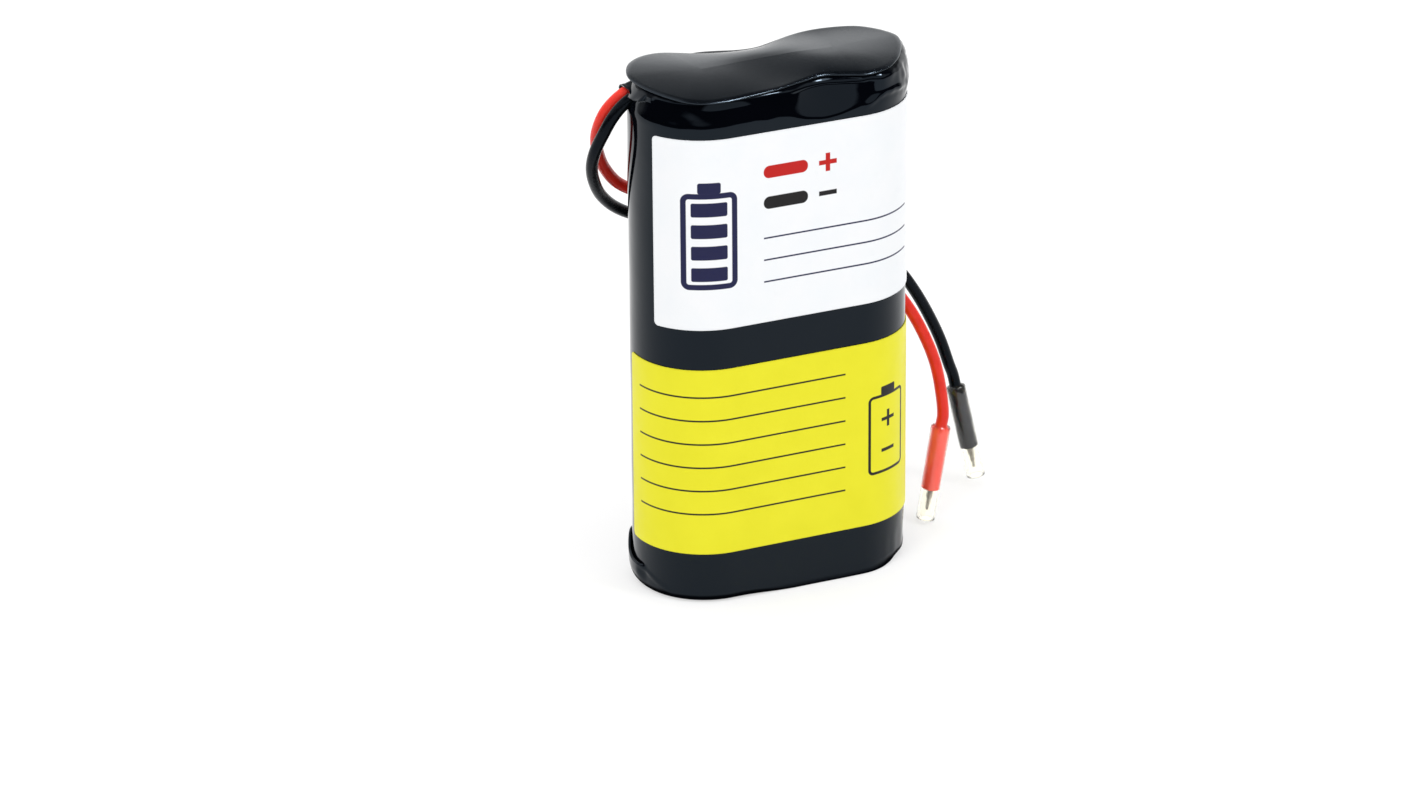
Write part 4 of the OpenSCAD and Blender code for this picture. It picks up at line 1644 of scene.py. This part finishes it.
@dataclass
class WrapLabel:
    """A label with round corners that wraps round the film, from some degrees round the left end."""

    outline: Outline
    node: str
    finish: LabelFinish
    wrap: float
    stand_off: float = 0.02 * MM
    paper: float = 0.1 * MM
    corner: float = 0.6 * MM
    corner_steps: int = 8
    strip: float = 0.6 * MM
    smooth_to: float = 30.0

    def build(self) -> Piece:
        """Cuts the label flat, rounds its corners and lays it round the film.

        Returns:
            The finished piece.
        """
        low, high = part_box(self.node)
        length, tall = self.finish.length * MM, high.z - low.z
        label = self.cut(length, tall)
        self.write_map(label, length, tall)
        start = -self.outline.half_pitch - math.radians(self.wrap) * self.outline.radius
        middle = 0.5 * (low.z + high.z)
        for vertex in label.data.vertices:
            height = middle + vertex.co.y
            anchor, way = self.outline.along(start + length / 2.0 + vertex.co.x)
            vertex.co = anchor + way * (self.outline.radius + self.stand_off)
            vertex.co.z = height
        close_up(label)
        thicken(label, self.paper, Grow.OUTWARDS)
        smooth(label, self.smooth_to)
        return settle(label, self.finish, Body.PACK, self.node)

    def cut(self, length: float, tall: float) -> Piece:
        """Cuts the flat label with round corners and divides it into upright strips.

        Args:
            length: the label's length.
            tall: the label's height.

        Returns:
            The flat label, round the origin.
        """
        bpy.ops.object.select_all(action="DESELECT")
        bpy.ops.mesh.primitive_plane_add(size=1.0)
        label = bpy.context.object
        label.name = label.data.name = self.node + "_wrap"
        count = int(length / self.strip)
        with editing(label):
            bpy.ops.transform.resize(value=(length, tall, 1.0))
            bpy.ops.mesh.bevel(affect="VERTICES", offset=self.corner, segments=self.corner_steps)
            for cut in range(1, count):
                bpy.ops.mesh.select_all(action="SELECT")
                where = length * (cut / count - 0.5)
                bpy.ops.mesh.bisect(plane_co=(where, 0.0, 0.0), plane_no=(1.0, 0.0, 0.0))
        return label

    def write_map(self, label: Piece, length: float, tall: float) -> None:
        """Keeps the flat label's place, from 0 to 1 each way, as its UV map.

        Args:
            label: the flat label.
            length: the label's length.
            tall: the label's height.
        """
        layer = label.data.uv_layers.active or label.data.uv_layers.new(name="flat")
        for loop in label.data.loops:
            flat = label.data.vertices[loop.vertex_index].co
            layer.data[loop.index].uv = (flat.x / length + 0.5, flat.y / tall + 0.5)


@dataclass(frozen=True)
class LeadEnd:
    """The straight end of a lead in its sleeve: the sleeve's mouth and the point it aims at, in millimetres.

    Stripped is how far past the mouth the insulation ends.
    """

    mouth: Triple
    aim: Triple
    stripped: float = 9.2 * MM

    def way(self) -> Vector:
        """Gives the unit vector along the sleeve, towards its open end."""
        return (Vector(self.aim) - Vector(self.mouth)).normalized()

    def spot(self, along: float) -> Vector:
        """Gives the point of the axis at a distance past the mouth."""
        return Vector(self.mouth) * MM + self.way() * along

    def across(self, turn: float) -> Vector:
        """Gives the unit vector across the axis at a turn round it."""
        side = self.way().cross(ALONG_Y).normalized()
        return side * math.cos(turn) + self.way().cross(side) * math.sin(turn)


@dataclass(frozen=True)
class BareStrands:
    """The twisted bare strands of a lead, some round one in the core, slimmer towards the tip."""

    colour: str
    end: LeadEnd
    radius: float = 0.125 * MM
    bare: float = 3.0 * MM
    buried: float = 0.6 * MM
    around: int = 6
    twist: float = 0.55
    spacing: float = 2.02
    root: float = 1.15
    slimmer: float = 0.6
    slims: Ramp = Ramp(0.1, 1.0)
    tip: float = 0.55
    sides: int = 10
    rings: int = 26
    smooth_to: float = 40.0

    def build(self) -> Piece:
        """Models each strand and joins the bunch.

        Returns:
            The bunch of strands.
        """
        bunch = []
        for number in range(self.around + 1):
            strand = ring_mesh(self.colour + "_strand", self.sides, self.rings, partial(self.place, number))
            fill_ends(strand)
            bunch.append(strand)
        pick(*bunch)
        bpy.ops.object.join()
        joined = bpy.context.object
        joined.name = joined.data.name = self.colour + "_bare_strands"
        smooth(joined, self.smooth_to)
        return settle(joined, TINNED, Body.PACK, self.colour + "_strands")

    def place(self, number: int, ring: int, share: float) -> Vector:
        """Places one point of a strand.

        Args:
            number: which strand it is, the last one in the core.
            ring: which ring it is on, from the insulation.
            share: how far round it is.

        Returns:
            The point.
        """
        along = ring / (self.rings - 1)
        slim = self.radius * (self.root - self.slimmer * self.slims.at(along))
        lay = math.tau * (number / self.around + self.twist * along)
        core = 0.0 if number == self.around else self.spacing * slim
        centre = self.end.spot(self.end.stripped - self.buried + (self.bare + self.buried) * along)
        centre += self.end.across(lay) * core
        rounded = 1.0 if 0 < ring < self.rings - 1 else self.tip
        return centre + self.end.across(math.tau * share) * slim * rounded


@dataclass
class ClearSleeve:
    """The clear sleeve on a lead's end, a tube with rounded lips that is a little out of round.

    Its bore grips the insulation and widens past the insulation's end.
    """

    colour: str
    end: LeadEnd
    body: Body
    length: float = 13.5 * MM
    outer: float = 1.3 * MM
    inner: float = 0.9 * MM
    grip: float = 0.73 * MM
    lip: float = 0.07 * MM
    collar: float = 0.2 * MM
    collar_top: float = 0.34 * MM
    widens_from: float = -0.3 * MM
    widens_to: float = 0.5 * MM
    oval: float = 0.018
    oval_twist: float = 260.0
    ripple: float = 0.008
    ripple_count: float = 7.0
    ripple_turn: float = 1.0
    sides: int = 40
    steps: int = 12
    smooth_to: float = 40.0
    rings: list[Pair] = field(default_factory=list, init=False)

    def build(self) -> Piece:
        """Turns the sleeve.

        Returns:
            The finished piece.
        """
        self.rings = self.profile()
        tube = ring_mesh(self.colour + "_clear_sleeve", self.sides, len(self.rings), self.place)
        smooth(tube, self.smooth_to)
        return settle(tube, CLEAR, self.body, self.colour + "_end_sleeve")

    def profile(self) -> list[Pair]:
        """Lists the tube's rings from its mouth along the outside and back along the bore.

        Returns:
            Each ring's radius and distance past the mouth.
        """
        mouth = (self.grip + self.lip, 0.0)
        step = (self.length - self.lip - self.collar_top) / self.steps
        rings = [mouth, (self.outer - self.lip, self.collar), (self.outer, self.collar_top)]
        rings += [(self.outer, self.collar_top + step * count) for count in range(1, self.steps + 1)]
        rings += [(self.outer - self.lip, self.length), (self.inner + self.lip, self.length)]
        rings += [(self.inner, self.length - self.lip), (self.inner, self.end.stripped + self.widens_to)]
        rings += [(self.grip, self.end.stripped + self.widens_from), (self.grip, self.lip), mouth]
        return rings

    def place(self, ring: int, share: float) -> Vector:
        """Places one point of the tube.

        Args:
            ring: which ring it is on.
            share: how far round it is.

        Returns:
            The point.
        """
        radius, along = self.rings[ring]
        turn = math.tau * share
        oval = self.oval * math.sin(2.0 * turn + self.oval_twist * along)
        ripple = self.ripple * math.sin(self.ripple_count * turn + self.ripple_turn)
        return self.end.spot(along) + self.end.across(turn) * radius * (1.0 + oval + ripple)


@dataclass(frozen=True)
class Lead:
    """A flying lead: insulated wire on its route, bare twisted strands and a clear end sleeve.

    The route's points are in millimetres, and exit_point is the one where the lead leaves the film.
    """

    colour: str
    route: Sequence[Triple]
    end: LeadEnd
    finish: Finish
    tube_body: Body
    diameter: float = 1.6 * MM
    straight: float = 1.5 * MM
    steps: int = 6
    round_steps: int = 7
    exit_point: int = 3

    def build(self) -> Piece:
        """Returns:
            The wire.
        """
        strands = BareStrands(self.colour, self.end).build()
        sleeve = ClearSleeve(self.colour, self.end, self.tube_body).build()
        points = self.centre_line()
        wire = link(self.colour + "_wire", self.curve(points))
        settle(wire, self.finish, Body.PACK, self.colour + "_lead")
        length = sum((second - first).length for first, second in zip(points, points[1:]))
        leaves = Vector(self.route[self.exit_point]) * MM
        LOG.info("%s is %.1f mm long", wire.name, length / MM)
        return wire

    def centre_line(self) -> list[Vector]:
        """Draws a smooth line through the route's points and into the end sleeve.

        Returns:
            The points of the line.
        """
        knots = [Vector(point) * MM for point in self.route]
        knots += [self.end.spot(along) for along in (-self.straight, 0.0, self.end.stripped)]
        points = [knots[0]]
        for index in range(len(knots) - 1):
            before = knots[max(index - 1, 0)]
            first, second = knots[index], knots[index + 1]
            after = knots[min(index + 2, len(knots) - 1)]
            for step in range(1, self.steps + 1):
                points.append(curve_between(before, first, second, after, step / self.steps))
        return points

    def curve(self, points: list[Vector]) -> bpy.types.Curve:
        """Makes the round wire along a line.

        Args:
            points: the points of the line.

        Returns:
            The curve of one open spline.
        """
        data = bpy.data.curves.new(self.colour + "_wire", "CURVE")
        data.dimensions = "3D"
        data.bevel_depth = self.diameter / 2.0
        data.bevel_resolution = self.round_steps
        data.use_fill_caps = True
        spline = data.splines.new("POLY")
        spline.points.add(len(points) - 1)
        for knot, point in zip(spline.points, points):
            knot.co = (*point, 1.0)
        spline.use_smooth = True
        return data


@dataclass(frozen=True)
class LeadCuff:
    """The short cuff of film that the two leads pass through at the left end, an oval tube.

    Its start and end are in millimetres. It flares at its root and, less, at its ragged mouth.
    """

    start: Triple = (-15.4, 3.2, 68.2)
    end: Triple = (-18.0, 3.3, 67.3)
    half_gap: float = 1.05 * MM
    radius: float = 1.05 * MM
    wall: float = 0.18 * MM
    root_flare: float = 0.5
    root: Ramp = Ramp(0.45, 0.0)
    mouth_flare: float = 0.12
    mouth: Ramp = Ramp(0.75, 1.0)
    ragged: float = 0.12 * MM
    ragged_part: Ramp = Ramp(0.6, 1.0)
    tongues: float = 3.0
    tongue_turn: float = 0.6
    sides: int = 64
    rings: int = 16
    smooth_to: float = 45.0

    def build(self) -> Piece:
        """Builds the cuff.

        Returns:
            The finished piece.
        """
        cuff = ring_mesh("lead_cuff", self.sides, self.rings, self.place)
        thicken(cuff, self.wall, Grow.OUTWARDS)
        smooth(cuff, self.smooth_to)
        return settle(cuff, FILM, Body.PACK)

    def place(self, ring: int, share: float) -> Vector:
        """Places one point of the cuff.

        Args:
            ring: which ring it is on, from the root.
            share: how far round it is.

        Returns:
            The point.
        """
        along = ring / (self.rings - 1)
        first, last = Vector(self.start) * MM, Vector(self.end) * MM
        way = (last - first).normalized()
        upright = ALONG_Y.cross(way).normalized()
        turn = math.tau * share
        flare = 1.0 + self.mouth_flare * self.mouth.at(along) + self.root_flare * self.root.at(along)
        ragged = self.ragged * math.sin(self.tongues * turn + self.tongue_turn) * self.ragged_part.at(along)
        across = math.cos(turn) * self.radius * flare + math.copysign(self.half_gap, math.cos(turn))
        point = first.lerp(last, along) + way * ragged + ALONG_Y * across
        return point + upright * math.sin(turn) * self.radius * flare


@dataclass(frozen=True)
class InnerPack:
    """The cells, strips, board and other CAD nodes that keep their shapes and get finishes."""

    finishes: tuple[Finish, ...] = INNER_FINISHES

    def build(self) -> None:
        """Gives every kept CAD node the finish of its slot."""
        by_slot = {finish.slot: finish for finish in self.finishes}
        for name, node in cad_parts.items():
            for place in node.material_slots:
                slot = self.slot_of(place.material.name)
                if slot in by_slot:
                    place.material = by_slot[slot].material()
                    LOG.info("%s keeps its shape and wears %s", name, slot)

    def slot_of(self, material: str) -> str:
        """Gives the slot that a CAD material is named for."""
        return material.removesuffix(CAD_MARK).split(".")[0]


BLACK_ROUTE: tuple[Triple, ...] = (
    (-13, 2.2, 68.1), (-15.4, 2.2, 68.1), (-17.4, 2.2, 67.7), (-19.1, 2.4, 66.6), (-20.4, 2.8, 64.9),
    (-21.4, 3.4, 62.7), (-22.1, 4.5, 60.1), (-21.9, 6.2, 57.2), (-20.8, 8, 54.3), (-19.1, 9.8, 51.6),
    (-16.5, 11.4, 49), (-13, 12.5, 46.9), (-8.5, 12.9, 45.6), (-4, 12.9, 44.9), (0.5, 12.9, 44.1),
    (5, 12.9, 43.2), (9.5, 12.8, 42), (14, 12.6, 40.4), (18.2, 12.4, 38.3), (21.8, 12.3, 35.7),
    (24.8, 12.2, 32.6), (27.3, 12.2, 28.9), (29.4, 12.2, 25), (31.1, 12.2, 21.2), (32.3, 12.1, 17.6))
BLACK_END = LeadEnd(mouth=(33.2, 11.9, 14.4), aim=(35.7, 10.2, 1.0))
RED_ROUTE: tuple[Triple, ...] = (
    (-13, 4.3, 68.1), (-15.4, 4.3, 68.1), (-17.4, 4.4, 67.7), (-19, 4.7, 66.6), (-20.2, 5.3, 65),
    (-20.8, 6.1, 63), (-20.8, 7.2, 60.7), (-20, 8.5, 58), (-18.6, 9.7, 55.3), (-16.5, 10.6, 52.7),
    (-13.5, 11, 50.8), (-10, 10.9, 49.4), (-6, 10.7, 48), (-2, 10.7, 46.5), (2, 10.7, 44.9),
    (6, 10.8, 43.2), (10, 10.7, 41.4), (14, 9.9, 39.2), (17.4, 8.1, 36.7), (20.3, 5.8, 33.8),
    (22.5, 4.2, 30.4), (24.2, 3.2, 26.7), (25.5, 2.6, 22.9), (26.2, 2.2, 19))
RED_END = LeadEnd(mouth=(26.2, 1.9, 13.8), aim=(24.1, 2.1, 0.8))
WHITE_WRAP = 64.0
YELLOW_WRAP = 97.0


def main() -> None:
    """Builds the studio, the leads, the film, the plate, the labels and the inner finishes in order."""
    logging.basicConfig(level=logging.INFO, format="%(message)s")
    Studio().build()
    Lead("black", BLACK_ROUTE, BLACK_END, BLACK_WIRE, Body.BLACK_TUBE).build()
    Lead("red", RED_ROUTE, RED_END, RED_WIRE, Body.RED_TUBE).build()
    outline = Outline.around("outer_sleeve")
    top = TopForm()
    ShrinkSleeve(outline, top, box_top=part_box("outer_sleeve")[1].z).build()
    CoverPlate(outline, top, under_z=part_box("cover_plate")[0].z).build()
    LeadCuff().build()
    WrapLabel(outline, "white_label", WHITE_PAPER, WHITE_WRAP).build()
    WrapLabel(outline, "yellow_label", YELLOW_PAPER, YELLOW_WRAP).build()
    InnerPack().build()


if __name__ == "__main__":
    main()
